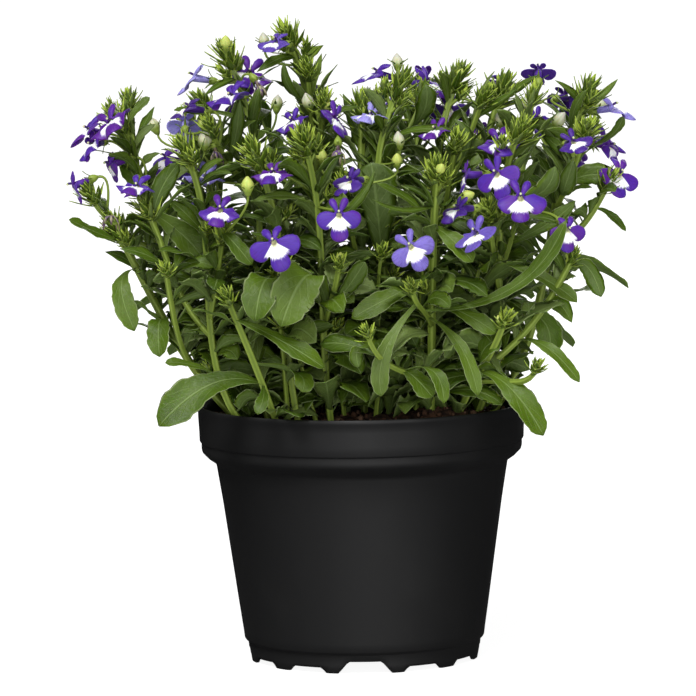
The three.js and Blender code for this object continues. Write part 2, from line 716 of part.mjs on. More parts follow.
function stalkSolid(stalk, bloom) {
  const ts = [0, 0.5, 1]
  const points = ts.map((t) => stalk.path.getPoint(t))
  points[0].lerp(points[1], stalkRise)
  const tangents = ts.map((t) => stalk.path.getTangent(t))
  points.push(bloom.cup.clone().addScaledVector(bloom.face, cupLength))
  tangents.push(bloom.face)
  const radii = [stalkRadius, stalkRadius, stalkRadius, cupRadius]
  const chord = points[2].clone().sub(points[0])
  const side = new THREE.Vector3().crossVectors(chord, bloom.face)
  if (side.length() < 1) side.crossVectors(bloom.face, up)
  return loft(tubeRings(points, tangents, radii, side.normalize(), 3))
}

// Corolla: lobes fanned from the throat on both faces, thick at the throat and thin at the rim,
// over a closed tube. The tube of a grown bloom narrows into its cup.
function bloomSolid(bloom) {
  const rim = bloomOutline(bloom)
  const sides = 5
  const ring = (radius, depth) => Array.from({ length: sides }, (_, k) => {
    return bloomPoint({ ...bloom, lip: 0 }, 90 - (360 * k) / sides, radius, depth)
  })
  const throat = ring(throatRadius, 0)
  const neck = ring(throatRadius + 0.5, -petalThickness - 0.3)
  const end = bloom.free ? ring(tubeRadius, -tubeLength) : ring(0.5, -tubeLength - 1.2)
  const pit = bloom.throat.clone().addScaledVector(bloom.face, -2.2)
  const points = [...rim, ...throat, ...neck, ...end, pit]
  const first = { throat: rim.length, neck: rim.length + sides, end: rim.length + 2 * sides }
  const faces = []
  const count = rim.length
  const near = (i) => Math.round((i * sides) / count) % sides
  for (let i = 0; i < count; i++) {
    const next = (i + 1) % count
    for (const [start, flip] of [[first.throat, false], [first.neck, true]]) {
      const quad = [[i, next, start + near(i)]]
      if (near(i) !== near(next)) quad.push([next, start + near(next), start + near(i)])
      for (const [a, b, c] of quad) faces.push(flip ? [a, c, b] : [a, b, c])
    }
  }
  for (let k = 0; k < sides; k++) {
    const next = (k + 1) % sides
    faces.push([first.throat + k, first.throat + next, points.length - 1])
    faces.push([first.neck + k, first.end + next, first.neck + next])
    faces.push([first.neck + k, first.end + k, first.end + next])
    if (k > 0 && k < sides - 1) faces.push([first.end, first.end + next, first.end + k])
  }
  return solidFrom(points, faces)
}

// Blade with a flat upper face and a keel under its midrib, thin at its edges.
function leafSolid(leaf) {
  const rings = outlines[leaf.kind].map(([t, half]) => {
    const point = leaf.path.getPoint(t)
    if (half === 0) return [point]
    const normal = new THREE.Vector3().crossVectors(leaf.path.getTangent(t), leaf.side).normalize()
    const spread = (half * leaf.width) / 2
    const thick = t === 0 ? footThickness : bladeThickness
    return [
      point.clone().addScaledVector(leaf.side, -spread).addScaledVector(normal, thick / 3),
      point.clone().addScaledVector(leaf.side, spread).addScaledVector(normal, thick / 3),
      point.clone().addScaledVector(normal, (-2 * thick) / 3),
    ]
  })
  return loft(rings)
}

// Core with its bracts drawn out to points. A blocked bract leaves its face flat.
function tuftSolid(tuft, open) {
  const points = [...tuft.points]
  const faces = [...tuft.faces]
  tuft.bracts.forEach((bract, i) => {
    if (!open[i]) {
      faces.push(bract.face)
      return
    }
    let base = bract.face
    if (bract.bud) {
      const belly = bract.middle.clone().lerp(bract.tip, 0.55)
      base = bract.corners.map((corner) => {
        const swell = corner.clone().sub(bract.middle).setLength(budRadius)
        return points.push(belly.clone().add(swell)) - 1
      })
      for (let k = 0; k < 3; k++) {
        const next = (k + 1) % 3
        faces.push([bract.face[k], bract.face[next], base[next]], [bract.face[k], base[next], base[k]])
      }
    }
    const tip = points.push(bract.tip) - 1
    for (let k = 0; k < 3; k++) faces.push([base[k], base[(k + 1) % 3], tip])
  })
  return solidFrom(points, faces)
}

// Plant

function growPlant() {
  const shoots = layShoots()
  const stems = shoots.flatMap(sampleShoot)
  const taken = [...stems]
  const pieces = []

  const add = (solid, owner, host = null) => pieces.push({ solid, owner, host, box: solid.boundingBox() })

  // True when a solid cuts a piece other than the shoot that it grows from. A piece with kin set
  // may cut others of its own spray.
  const cuts = (solid, owner, shoot, kin = false) => {
    const box = solid.boundingBox()
    const apart = (other) => [0, 1, 2].some((i) => {
      return box.min[i] > other.box.max[i] || other.box.min[i] > box.max[i]
    })
    return pieces.some((other) => {
      if (other.host === shoot || (kin && other.owner === owner)) return false
      return !apart(other) && other.solid.intersect(solid).volume() > leastCut
    })
  }

  for (const shoot of shoots) add(shootSolid(shoot), shoot.owner, shoot)

  const blooms = [...freeBlooms, ...grownBlooms].map((row, i) => {
    const free = i < freeBlooms.length
    return { ...bloomFrame(row), free, owner: `bloom_${String(i + 1).padStart(2, '0')}` }
  })
  for (const bloom of blooms) taken.push(...sampleBloom(bloom, bloom.owner))
  for (const bloom of blooms) {
    const choices = stalkChoices(bloom, stems, taken)
    const cutsNothing = (choice) => !cuts(stalkSolid(choice, bloom), choice.owner, choice.shoot)
    const stalk = choices.find(cutsNothing) ?? choices[0]
    taken.push(...stalk.spheres)
    if (!bloom.free) {
      for (const sphere of taken) if (sphere.owner === bloom.owner) sphere.owner = stalk.owner
    }
    add(bloomSolid(bloom), bloom.free ? bloom.owner : stalk.owner)
    add(stalkSolid(stalk, bloom), stalk.owner)
  }

  const addLeaf = (leaf, shoot, kin) => {
    const solid = leafSolid(leaf)
    if (cuts(solid, shoot.owner, shoot, kin)) return false
    add(solid, shoot.owner)
    taken.push(...sampleLeaf(leaf, shoot.owner))
    return true
  }

  for (const [foot, middle, tip, face, width] of placedLeaves) {
    const wanted = vector(foot)
    const stem = stems.reduce((a, b) => (b.at.distanceTo(wanted) < a.at.distanceTo(wanted) ? b : a))
    const chord = wanted.clone().lerp(vector(tip), 0.5)
    const bend = vector(middle).multiplyScalar(2).sub(chord)
    const side = vector(tip).sub(bend).cross(vector(face)).normalize()
    addLeaf(leafAlong(stem.at, bend, vector(tip), side, width), stem.shoot, true)
  }

  for (const shoot of shoots) {
    const tuft = layTuft(shoot)
    const spheres = tuft.bracts.map((bract) => [0.5, 1].map((part) => {
      return { at: bract.middle.clone().lerp(bract.tip, part), radius: 0.6, owner: shoot.owner }
    }))
    const open = spheres.map((pair) => isClear(pair, taken, shoot.owner, tuft.points[0], tuftReach))
    const solid = tuftSolid(tuft, open)
    if (cuts(solid, shoot.owner, shoot, true)) continue
    add(solid, shoot.owner)
    taken.push(...spheres.filter((_, i) => open[i]).flat())
  }

  const draw = drawFrom(2711)
  for (const shoot of shoots) {
    const start = shoot.main ? firstLeaf : firstSideLeaf
    for (let along = start, turn = 0; along < shoot.length - bareTop; along += leafSpacing, turn++) {
      const base = shootPoint(shoot, along / shoot.length)
      const chance = draw()
      for (let attempt = 0; attempt < bentTries; attempt++) {
        const bent = bendStep * Math.ceil(attempt / 2) * (attempt % 2 ? 1 : -1)
        const azimuth = turn * goldenAngle + 360 * chance + bent
        const leaf = ruleLeaf(base, azimuth, raiseStep * attempt, chance)
        const clear = isClear(sampleLeaf(leaf, shoot.owner), taken, shoot.owner, base)
        if (clear && addLeaf(leaf, shoot, false)) break
      }
    }
  }
  return { shoots, pieces }
}

const { shoots, pieces } = growPlant()
const roots = shoots.filter((shoot) => shoot.main).map((shoot) => shootSolid(shoot, seatGap))

const group = new THREE.Group()
group.add(meshOf('pot', makePot(), materials.pot))
group.add(meshOf('soil', makeSoil(roots), materials.soil))
for (const owner of new Set(pieces.map((piece) => piece.owner))) {
  const solids = pieces.filter((piece) => piece.owner === owner).map((piece) => piece.solid)
  const material = owner.startsWith('bloom') ? materials.violet : materials.green
  group.add(meshOf(owner, wasm.Manifold.union(solids), material))
}

export default group
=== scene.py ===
from math import comb

import bpy
import numpy as np
from mathutils import Matrix


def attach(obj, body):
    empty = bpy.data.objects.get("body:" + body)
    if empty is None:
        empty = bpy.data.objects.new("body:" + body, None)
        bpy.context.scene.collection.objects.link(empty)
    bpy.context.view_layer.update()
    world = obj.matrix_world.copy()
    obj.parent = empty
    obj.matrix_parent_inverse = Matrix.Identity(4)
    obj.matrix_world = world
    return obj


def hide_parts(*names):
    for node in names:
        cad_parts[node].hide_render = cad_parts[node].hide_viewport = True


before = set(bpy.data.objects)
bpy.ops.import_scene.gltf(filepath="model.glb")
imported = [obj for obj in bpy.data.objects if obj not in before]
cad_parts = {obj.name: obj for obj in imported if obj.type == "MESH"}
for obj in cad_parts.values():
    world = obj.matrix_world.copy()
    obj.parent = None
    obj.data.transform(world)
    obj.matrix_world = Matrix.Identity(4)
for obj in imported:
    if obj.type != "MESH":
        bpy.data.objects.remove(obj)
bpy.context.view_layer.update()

# Lengths are in millimetres until a mesh is made. +Z is up and -Y is the front.
millimetre = 0.001
up = np.array([0.0, 0.0, 1.0])
viewer = np.array([0, -2000, 326])
golden = 137.5  # degrees from one leaf to the next

# Sprays: the main shoot is (x, y in the soil, tip x, y, z, lean). Each side shoot is (share of the
# main shoot's length, tip x, y, z, lean).
sprays = {
    "left_tall": [(-30, -8, -88, -2, 199, 0.58), (0.86, -83, 7, 204, 0.3), (0.6, -97, -14, 172, 0.6)],
    "left_trailing": [(-30, -17, -88, -14, 160, 0.56), (0.42, -69, -46, 147, 0.7)],
    "left_front": [(-27, -27, -62, -37, 189, 0.66), (0.45, -76, -34, 168, 0.5), (0.5, -48, -50, 160, 0.4)],
    "left_low": [(-26, -39, -47, -60, 138, 0.28)],
    "front_left": [(-19, -36, -37, -46, 188, 0.25), (0.42, -27, -62, 150, 0.5)],
    "front_middle": [(-9, -35, -19, -52, 192, 0.25), (0.38, -7, -63, 150, 0.5)],
    "crown": [(-18, 4, -25, 0, 227, 0.1), (0.72, -18, -6, 215, 0.5), (0.6, -12, -18, 204, 0.4)],
    "crown_left": [(-24, -7, -47, 0, 220, 0.3), (0.66, -57, 6, 203, 0.5), (0.6, -53, -22, 196, 0.5)],
    "middle": [(1, -14, 2, -4, 202, 0.1), (0.55, 8, 25, 202, 0.5), (0.45, -5, -38, 176, 0.5)],
    "crown_middle": [(11, -19, 16, -18, 210, 0.1), (0.7, 24, 4, 205, 0.5)],
    "front_tall": [(24, -38, 28, -60, 182, 0.2), (0.24, 2, -80, 127, 0.75), (0.42, 18, -70, 142, 0.5)],
    "crown_right": [(24, -4, 37, 4, 211, 0.2), (0.64, 46, -13, 205, 0.5), (0.5, 35, -30, 190, 0.5)],
    "right_front": [(33, -23, 58, -36, 194, 0.45), (0.55, 64, -8, 205, 0.5), (0.5, 46, -45, 166, 0.4)],
    "right_tall": [(36, -9, 84, 4, 205, 0.52), (0.66, 82, -22, 193, 0.5), (0.56, 91, -6, 173, 0.7)],
    "right_low": [(31, -31, 51, -62, 129, 0.2), (0.5, 62, -70, 113, 0.8), (0.6, 76, -50, 150, 0.6)],
    "back_left": [(-26, 10, -62, 42, 194, 0.5), (0.5, -80, 30, 172, 0.6), (0.6, -52, 60, 182, 0.6)],
    "back_left_low": [(-18, 24, -58, 74, 152, 0.6), (0.5, -34, 76, 166, 0.5)],
    "back_middle": [(-5, 20, -16, 66, 200, 0.35), (0.6, -14, 79, 178, 0.6), (0.55, -36, 56, 196, 0.6)],
    "back_low": [(6, 31, 10, 79, 148, 0.55), (0.45, 34, 76, 152, 0.6)],
    "back_right": [(16, 18, 24, 60, 203, 0.35), (0.55, 6, 76, 188, 0.6), (0.5, 46, 70, 182, 0.6)],
    "far_right": [(33, 10, 54, 25, 206, 0.35), (0.6, 86, 24, 190, 0.7), (0.42, 74, 52, 178, 0.6)],
}

# Open flowers in front: (x, y, z, azimuth, elevation, roll, size, lip). Azimuth 0 faces the front
# and 90 faces +X. Lip is how far the lower lobes are folded forward, in degrees.
freeBlooms = [
    (-89, -12, 198, -15, 5, 38, 1.12, 80), (-98, 3, 194, -55, 10, 30, 1.05, 60),
    (-90, -8, 182, -70, -15, 0, 0.75, 0), (-103, -15, 175, -80, -20, 0, 0.8, 0),
    (-60, 16, 212, -95, 10, 0, 0.9, 35), (-61, -18, 203, -70, 10, 10, 0.85, 60),
    (-45, -22, 207, -35, 0, 15, 1.1, 96), (-63, 26, 195, 180, 15, 0, 0.9, 10),
    (-79, -36, 176, -20, 5, -6, 0.95, 97), (-55, -21, 178, -15, 10, -5, 0.95, 92),
    (-49, -57, 169, -8, 5, -5, 0.95, 66), (-29, -11, 226, -35, 10, 0, 0.8, 60),
    (-39, 3, 214, 0, 10, -15, 1.15, 76), (-23, -26, 198, -25, 8, 25, 0.85, 80),
    (-8, -24, 199, 45, -10, -30, 0.95, 60), (-30, -58, 182, -15, 5, 2, 0.92, 90),
    (-3, -47, 178, -45, 0, -10, 0.8, 55), (-7, -72, 168, 0, 0, 0, 1, 12),
    (-30, -76, 159, -3, 0, 16, 1.08, 8), (7, 9, 213, -80, 15, 0, 1, 60), (26, 14, 209, 60, 5, 0, 1, 60),
    (5, -16, 199, -25, 10, 0, 0.9, 94), (28, -27, 194, -30, 8, 10, 0.82, 88),
    (34, 20, 199, 10, -20, 0, 0.95, 10), (67, 32, 212, 180, 30, 0, 0.8, 10),
    (77, 28, 202, 150, 0, 0, 0.85, 10), (94, 12, 199, 85, 10, 0, 0.9, 65),
    (77, -37, 190, 20, 10, 20, 0.8, 60), (51, -30, 190, 0, 5, 8, 1.05, 80),
    (49, -52, 180, -20, 0, 20, 1.0, 20), (57, -66, 172.5, 0, 5, 0, 1.06, 32),
    (38, -40, 179, -80, 0, 20, 0.8, 20), (95, -5, 176, 25, 0, -15, 1, 25),
    (35, -55, 168, -60, 0, -5, 0.8, 75), (41, -63, 160, -30, 15, 20, 1.05, 42),
    (74, -54, 160, 20, -20, 0, 0.85, 25), (18, -79, 157, 0, 0, 28, 1, 5),
]

# Smaller and rearward flowers, in the same form.
grownBlooms = [
    (-71, 22, 182, -60, 10, 0, 0.85, 30), (12, 34, 200, 0, 10, 0, 0.7, 40),
    (66, 12, 195, 30, 0, 0, 0.8, 40), (93, 20, 184, 60, -10, 0, 0.7, 40),
    (-80, 38, 172, -120, 10, 0, 1, 50), (-62, 60, 176, -140, 5, 0, 1, 30),
    (-62, 78, 162, -145, 10, 10, 0.95, 50), (-42, 64, 200, -160, 5, -10, 1.05, 40),
    (-36, 84, 172, -165, 0, 0, 1, 20), (-18, 76, 205, 180, 10, 0, 0.95, 60),
    (-14, 87, 184, 175, 0, 15, 1, 30), (9, 84, 160, 180, 0, 0, 1.05, 15),
    (26, 70, 207, 165, 10, 0, 0.95, 60), (48, 80, 184, 150, 0, 0, 1.05, 30),
    (54, 44, 207, 150, 15, 0, 0.9, 60), (80, 58, 180, 130, 5, -10, 1, 40), (92, 36, 186, 105, 5, 0, 1, 55),
    (-96, -2, 189, -30, -5, 45, 0.9, 88),
]

# Large leaves with places of their own: foot, middle, tip and face, each as x, y, z, then width and
# age. The upper side looks along the face, and age runs from 0, deep green, to 1, yellow green.
placedLeaves = [
    (-35, -44, 107, -53, -51, 107, -72, -57, 92.5, -0.1, -0.9, 0.5, 14.5, 0.0),
    (39, -49, 111, 52, -63, 105, 64, -68, 88.5, 0.2, -0.9, 0.5, 10.5, 0.1),
    (-36, -48, 134, -35, -64, 145, -37, -72, 131, 0, -1, 0.2, 13.5, 0.0),
    (-15, -48, 135, -19, -64, 147, -28, -72, 129, 0, -1, 0.2, 17, 0.12),
    (-40, -58, 133, -27, -68, 124, -13, -72, 114, 0, -0.55, 0.8, 9, 0.1),
    (-28, -56, 104, -33, -60, 102, -37, -63, 97, 0, -0.8, 0.6, 5, 0.1),
    (-26, -58, 116, -20, -63, 112, -21, -66, 105, 0, -0.9, 0.4, 8, 0.05),
    (-61, -20, 127, -70, -30, 128, -72, -36, 115, -0.2, -0.9, 0.3, 9.5, 0.1),
    (-78, -25, 145, -85, -30, 140, -81, -32, 124, 0, -0.95, 0.3, 8.5, 0.1),
    (-55, -30, 108, -62, -35, 112, -70, -38, 113, 0, -0.6, 0.8, 4.5, 0.2),
    (-55, -50, 162, -47, -58, 159, -38, -62, 150, 0.2, -0.75, 0.65, 7, 0.1),
    (-75, -20, 168, -65, -26, 160, -57, -30, 151, 0, -0.9, 0.4, 11, 0.0),
    (-82, -20, 157, -93, -23, 159, -104, -26, 164, 0, -0.5, 0.85, 6.5, 0.1),
    (5, -18, 146, 6, -26, 165, 5, -28, 183, 0, -1, 0.1, 18, -0.2),
    (27, -56, 160, 32, -60, 158, 40, -64, 150, 0, -0.8, 0.6, 8, 0.1),
    (29, -56, 136, 56, -61, 141.5, 73, -62, 164, -0.2, -0.7, 0.7, 6.4, 0.15),
    (57, -40, 148, 66, -48, 143, 77, -52, 134, 0.2, -0.8, 0.5, 6.5, 0.1),
    (72, -35, 147, 80, -40, 147, 86, -44, 135, 0.2, -0.9, 0.4, 7, 0.1),
    (-14, -50, 133, -5, -55, 141, 2, -58, 150, 0, -0.9, 0.3, 7, 0.1),
    (24, -40, 144, 12, -52, 138, -3, -58, 130, 0, -0.75, 0.65, 8.5, 0.1),
    (0, -66, 126, -2, -69, 122, -1, -71, 114, 0, -0.95, 0.3, 5.5, 0.2),
    (10, -64, 128, 6, -72, 118, 7, -74, 104, 0, -0.95, 0.2, 7, 0.15),
    (22, -62, 116, 27, -68, 113, 29, -72, 101, 0.2, -0.9, 0.4, 6, 0.15),
    (8, -56, 111, 17, -60, 109, 25, -62, 102, 0, -0.6, 0.8, 9, 0.25),
    (28, -58, 121, 36, -64, 118, 41, -68, 103, 0.1, -0.85, 0.5, 6, 0.1),
    (38, -52, 134, 41, -56, 130, 48, -58, 124, 0, -0.9, 0.4, 7, 0.1),
    (36, -50, 112, 42, -54, 118, 50, -56, 122, 0, -0.8, 0.6, 9, 0.1),
    (54, -52, 120, 65, -60, 119, 77, -66, 107, 0, -0.6, 0.8, 6, 0.1),
    (65, -30, 133, 69, -36, 126, 67, -40, 114, 0, -0.95, 0.2, 10, 0.05),
    (-81, -4, 197, -79, -3, 202, -75, -2, 206, 0, -0.8, 0.6, 3.6, 0.3),
    (82, 2, 166, 90, 0, 162, 97, -4, 155, 0, -0.6, 0.8, 3.4, 0.2),
    (89, 10, 178, 94, 9, 187, 97, 8, 196, 0.3, -0.9, 0.3, 3.8, 0.3),
    (-39, -10, 198, -51, -12, 201, -66, -14, 202, 0, -0.5, 0.85, 5.5, 0.1),
    (-20, 40, 120, -25, 61, 120, -30, 78, 108, 0, 0.6, 0.8, 12, 0.1),
    (14, 50, 118, 17, 70, 117, 20, 88, 104, 0, 0.6, 0.8, 12, 0.0),
    (-44, 50, 118, -58, 62, 117, -72, 72, 104, -0.4, 0.5, 0.8, 11, 0.1),
    (50, 40, 120, 65, 52, 119, 80, 62, 106, 0.4, 0.5, 0.8, 12, 0.0),
    (60, 30, 140, 80, 36, 141, 100, 40, 130, 0.5, 0.3, 0.8, 10, 0.1),
    (-50, 30, 130, -69, 38, 131, -88, 44, 120, -0.5, 0.3, 0.8, 10, 0.1),
]

# Smaller leaves with places of their own, in the same form.
smallLeaves = [
    (-20, 2, 221, -27, -4, 220, -36, -8, 215, 0, -0.8, 0.6, 5, 0.1),
    (-43, -8, 213, -49, -12, 211, -55, -14, 207, 0, -0.8, 0.6, 3, 0.2),
    (-37, -18, 188, -41, -22, 196, -42, -24, 206, 0, -1, 0.2, 5.5, 0),
    (-33, -14, 193, -36, -18, 201, -35, -20, 210, 0, -1, 0.2, 5, 0.1),
    (-24, -8, 201, -26, -12, 209, -26, -14, 219, 0, -1, 0.2, 4, 0.2),
    (-69, -20, 165, -70, -26, 174, -64, -28, 184, 0, -0.9, 0.4, 8, 0),
    (-79, -12, 168, -81, -6, 176, -86, 2, 185, 0, -0.9, 0.4, 8, 0),
    (-53, -30, 158, -61, -36, 166, -67, -38, 171, 0, -0.9, 0.4, 6, 0),
    (-21, -50, 166, -27, -56, 173, -38, -60, 172, 0, -0.6, 0.8, 5, 0.1),
    (-12, -50, 161, -1, -54, 170, 6, -54, 182, 0, -0.7, 0.7, 3.6, 0.25),
    (-5, 10, 180, -2, 6, 193, -5, 4, 206, 0, -1, 0.2, 6, 0.1),
    (3, 6, 181, 5, 8, 192, 2, 10, 203, 0, -1, 0.2, 6, 0),
    (17, -20, 187, 26, -26, 194, 37, -30, 191, 0, -0.7, 0.7, 5.5, 0.1),
    (25, -8, 194, 26, -12, 201, 25, -14, 210, 0, -1, 0.2, 8, 0),
    (26, -58, 167, 15, -64, 168, 5, -68, 173, 0, -0.5, 0.85, 3.4, 0.3),
    (35, -20, 183, 40, -24, 190, 35, -26, 198, 0, -0.9, 0.4, 6, 0),
    (58, -40, 170, 66, -44, 172, 70, -46, 182, 0, -0.9, 0.4, 8, 0),
    (65, -20, 146, 72, -24, 159, 78, -24, 168, 0, -0.9, 0.4, 6, 0),
    (68, -10, 167, 73, -14, 171, 78, -16, 182, 0, -0.9, 0.4, 7, 0),
    (75, -5, 192, 78, -8, 200, 83, -10, 207, 0, -1, 0.2, 4, 0.2),
    (84, 4, 199, 79, 2, 205, 72, 0, 210, 0, -0.9, 0.4, 3.2, 0.4),
    (84, 4, 197, 90, 3, 204, 95, 2, 210, 0, -0.9, 0.4, 3.2, 0.4),
    (54, 25, 200, 60, 22, 206, 67, 20, 211, 0, -0.9, 0.4, 3.4, 0.4),
    (46, -13, 196, 52, -15, 203, 58, -16, 208, 0, -0.9, 0.4, 3.2, 0.4),
    (79, 0, 168, 85, -2, 175, 94, -4, 174, 0, -1, 0.1, 9, 0.05),
    (57, -45, 134, 67, -50, 136, 75, -54, 127, 0, -0.7, 0.7, 7, 0.1),
    (31, -44, 100, 40, -50, 103, 50, -54, 98, 0, -0.6, 0.8, 8, 0.35),
]

# Buds and withered flowers with places of their own: (kind, x, y, z, azimuth, elevation, size).
loners = [
    ("opening", -33, 0, 223, -20, 80, 0.9), ("opening", -17, -10, 201, -30, 70, 1.0),
    ("opening", 15, -8, 215, 0, 85, 0.9), ("opening", 15, -30, 188, -10, 80, 0.95),
    ("opening", -55, -20, 188, 20, 75, 1.15), ("opening", 52, -10, 193, 0, 85, 1.05),
    ("opening", -87, -4, 199, -40, 65, 0.85), ("opening", 62, 5, 198, -20, 80, 0.9),
    ("opening", 71, 0, 193, 60, 45, 1.1), ("bud", -47, -8, 223, 0, 60, 1.5),
    ("bud", -37, -42, 185, 0, 60, 1.3), ("bud", -13, -32, 183, 0, 70, 1.5),
    ("bud", 14, -38, 182, 0, 60, 1.4), ("bud", 28, -44, 177, -20, 60, 1.3),
    ("bud", -39, -64, 175, 0, 80, 1.6), ("bud", 36, -47, 171, 60, 20, 1.5),
    ("withered", -38, -10, 214, 60, -50, 1.0), ("withered", -52, -20, 191, 30, -60, 0.8),
    ("withered", -7, -32, 192, 0, -60, 0.9), ("withered", -87, -30, 163, -30, 40, 0.8),
    ("opening", -30, 62, 196, 170, 70, 1.0), ("opening", 40, 66, 200, 160, 60, 1.0),
    ("withered", 10, 72, 196, 180, -50, 1.0), ("opening", -74, 44, 190, -120, 60, 1.0),
    ("opening", 88, 30, 196, 100, 55, 1.0), ("withered", 70, 56, 186, 130, -50, 0.9),
]

# Vectors and curves

def unit(v):
    return v / np.maximum(np.linalg.norm(v, axis=-1, keepdims=True), 1e-9)


# Horizontal direction of an azimuth: (sin a, -cos a, 0).
def heading(azimuth):
    a = np.radians(np.asarray(azimuth, float))
    return np.stack([np.sin(a), -np.cos(a), 0 * a], -1)


# Direction that climbs from an azimuth: cos c times its heading, plus sin c upward.
def climbing(azimuth, climb):
    c = np.radians(climb)
    return heading(azimuth) * np.cos(c) + up * np.sin(c)


# Direction at a turn, in degrees, from one way across to the other.
def turned(side, across, turn):
    a = np.radians(turn)
    return side * np.cos(a) + across * np.sin(a)


# Level direction across something that grows out along a vector.
def acrossFrom(out):
    return unit(np.cross(up, out))


# A vector turned about an axis by Rodrigues' formula.
def turnedAbout(v, axis, turn):
    a = np.radians(turn)
    return v * np.cos(a) + np.cross(axis, v) * np.sin(a) + axis * np.dot(axis, v) * (1 - np.cos(a))


def fullTurn(n):
    return 2 * np.pi * np.arange(n) / n


def circle(angles):
    return np.stack([np.cos(angles), np.sin(angles)], -1)


# Bernstein weights of a Bezier curve's control points at t.
def shares(degree, t):
    return np.stack([comb(degree, k) * t**k * (1 - t)**(degree - k) for k in range(degree + 1)], -1)


# Bezier curve: the sum of its control points, each times its weight at t.
def curveAt(controls, t):
    return shares(len(controls) - 1, t) @ controls


def slopeAt(controls, t):
    return unit(curveAt(np.diff(controls, axis=0), t))


def smooth(low, high, x):
    t = np.clip((x - low) / (high - low), 0, 1)
    return t * t * (3 - 2 * t)


# Meshes: grids of points are gathered in a heap, then made into one object.

def newHeap():
    keys = ("points", "uv", "tint", "age", "quads", "tris", "quadSlot", "triSlot")
    return {"count": 0, **{key: [] for key in keys}}


# Adds grids of shape (n, rows, columns, 3). The columns close on themselves, and both end rings are
# closed by a fan on their middle. A grid that comes out inside out has its columns reversed: its
# volume is a sixth of the sum of a . (b x c) over its faces.
def addGrids(heap, grids, uv=(0.5, 0.5), tint=0.5, age=0.0, slot=0):
    n, rows, columns, _ = grids.shape
    uv = np.broadcast_to(uv, (n, rows, columns, 2))
    tint, age = (np.broadcast_to(value, (n, rows, columns))[..., None] for value in (tint, age))
    here = grids - grids.mean(axis=(1, 2), keepdims=True)
    beyond = np.roll(here, -1, axis=2)
    a, b, c, d = here[:, :-1], beyond[:, :-1], beyond[:, 1:], here[:, 1:]
    volume = (a * np.cross(b, c)).sum(axis=(1, 2, 3)) + (a * np.cross(c, d)).sum(axis=(1, 2, 3))
    back = (volume < 0)[:, None, None, None]
    for key, values in (("points", grids), ("uv", uv), ("tint", tint), ("age", age)):
        values = np.where(back, values[:, :, ::-1], values)
        ends = np.stack([values[:, 0].mean(axis=1), values[:, -1].mean(axis=1)], axis=1)
        width = values.shape[-1]
        heap[key].append(np.concatenate([values.reshape(n, -1, width), ends], axis=1).reshape(-1, width))

    row, column = np.meshgrid(np.arange(rows - 1), np.arange(columns), indexing="ij")
    low, beside = row * columns, (column + 1) % columns
    quads = np.stack([low + column, low + beside, low + columns + beside, low + columns + column],
                     -1).reshape(-1, 4)
    k = np.arange(columns)
    middle, last = rows * columns, (rows - 1) * columns
    first = np.stack([np.full(columns, middle), (k + 1) % columns, k], -1)
    final = np.stack([np.full(columns, middle + 1), last + k, last + (k + 1) % columns], -1)
    tris = np.concatenate([first, final])
    starts = heap["count"] + (middle + 2) * np.arange(n)[:, None, None]
    heap["quads"].append((quads + starts).reshape(-1, 4))
    heap["tris"].append((tris + starts).reshape(-1, 3))
    heap["quadSlot"].append(np.full(n * len(quads), slot))
    heap["triSlot"].append(np.full(n * len(tris), slot))
    heap["count"] += n * (middle + 2)


def addGrid(heap, grid, *habit):
    addGrids(heap, grid[None], *habit)


def placeObject(name, data):
    thing = bpy.data.objects.new(name, data)
    bpy.context.scene.collection.objects.link(thing)
    return thing


# One object from a heap, with its UV map and its tint and age at each point.
def makePiece(name, heap, finishes, nodes=()):
    joined = {key: np.concatenate(values) for key, values in heap.items() if key != "count"}
    quads, tris = joined["quads"], joined["tris"]
    corners = np.concatenate([quads.ravel(), tris.ravel()]).astype(np.int32)
    starts = np.concatenate([4 * np.arange(len(quads)), 4 * len(quads) + 3 * np.arange(len(tris))])
    slots = np.concatenate([joined["quadSlot"], joined["triSlot"]])
    mesh = bpy.data.meshes.new(name)
    mesh.vertices.add(len(joined["points"]))
    mesh.vertices.foreach_set("co", (joined["points"] * millimetre).astype(np.float32).ravel())
    mesh.loops.add(len(corners))
    mesh.loops.foreach_set("vertex_index", corners)
    mesh.polygons.add(len(starts))
    mesh.polygons.foreach_set("loop_start", starts.astype(np.int32))
    mesh.polygons.foreach_set("material_index", slots.astype(np.int32))
    mesh.polygons.foreach_set("use_smooth", np.ones(len(starts), bool))
    mesh.uv_layers.new(name="plan").data.foreach_set("uv", joined["uv"][corners].astype(np.float32).ravel())
    for key in ("tint", "age"):
        layer = mesh.attributes.new(key, "FLOAT", "POINT")
        layer.data.foreach_set("value", joined[key].astype(np.float32).ravel())
    for finish in finishes:
        mesh.materials.append(finish)
    mesh.update(calc_edges=True)
    mesh.validate()
    piece = placeObject(name, mesh)
    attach(piece, "root")
    if nodes:
        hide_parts(*nodes)
    print(f"{name}: {len(quads) * 2 + len(tris)} triangles")
    return piece


# Materials

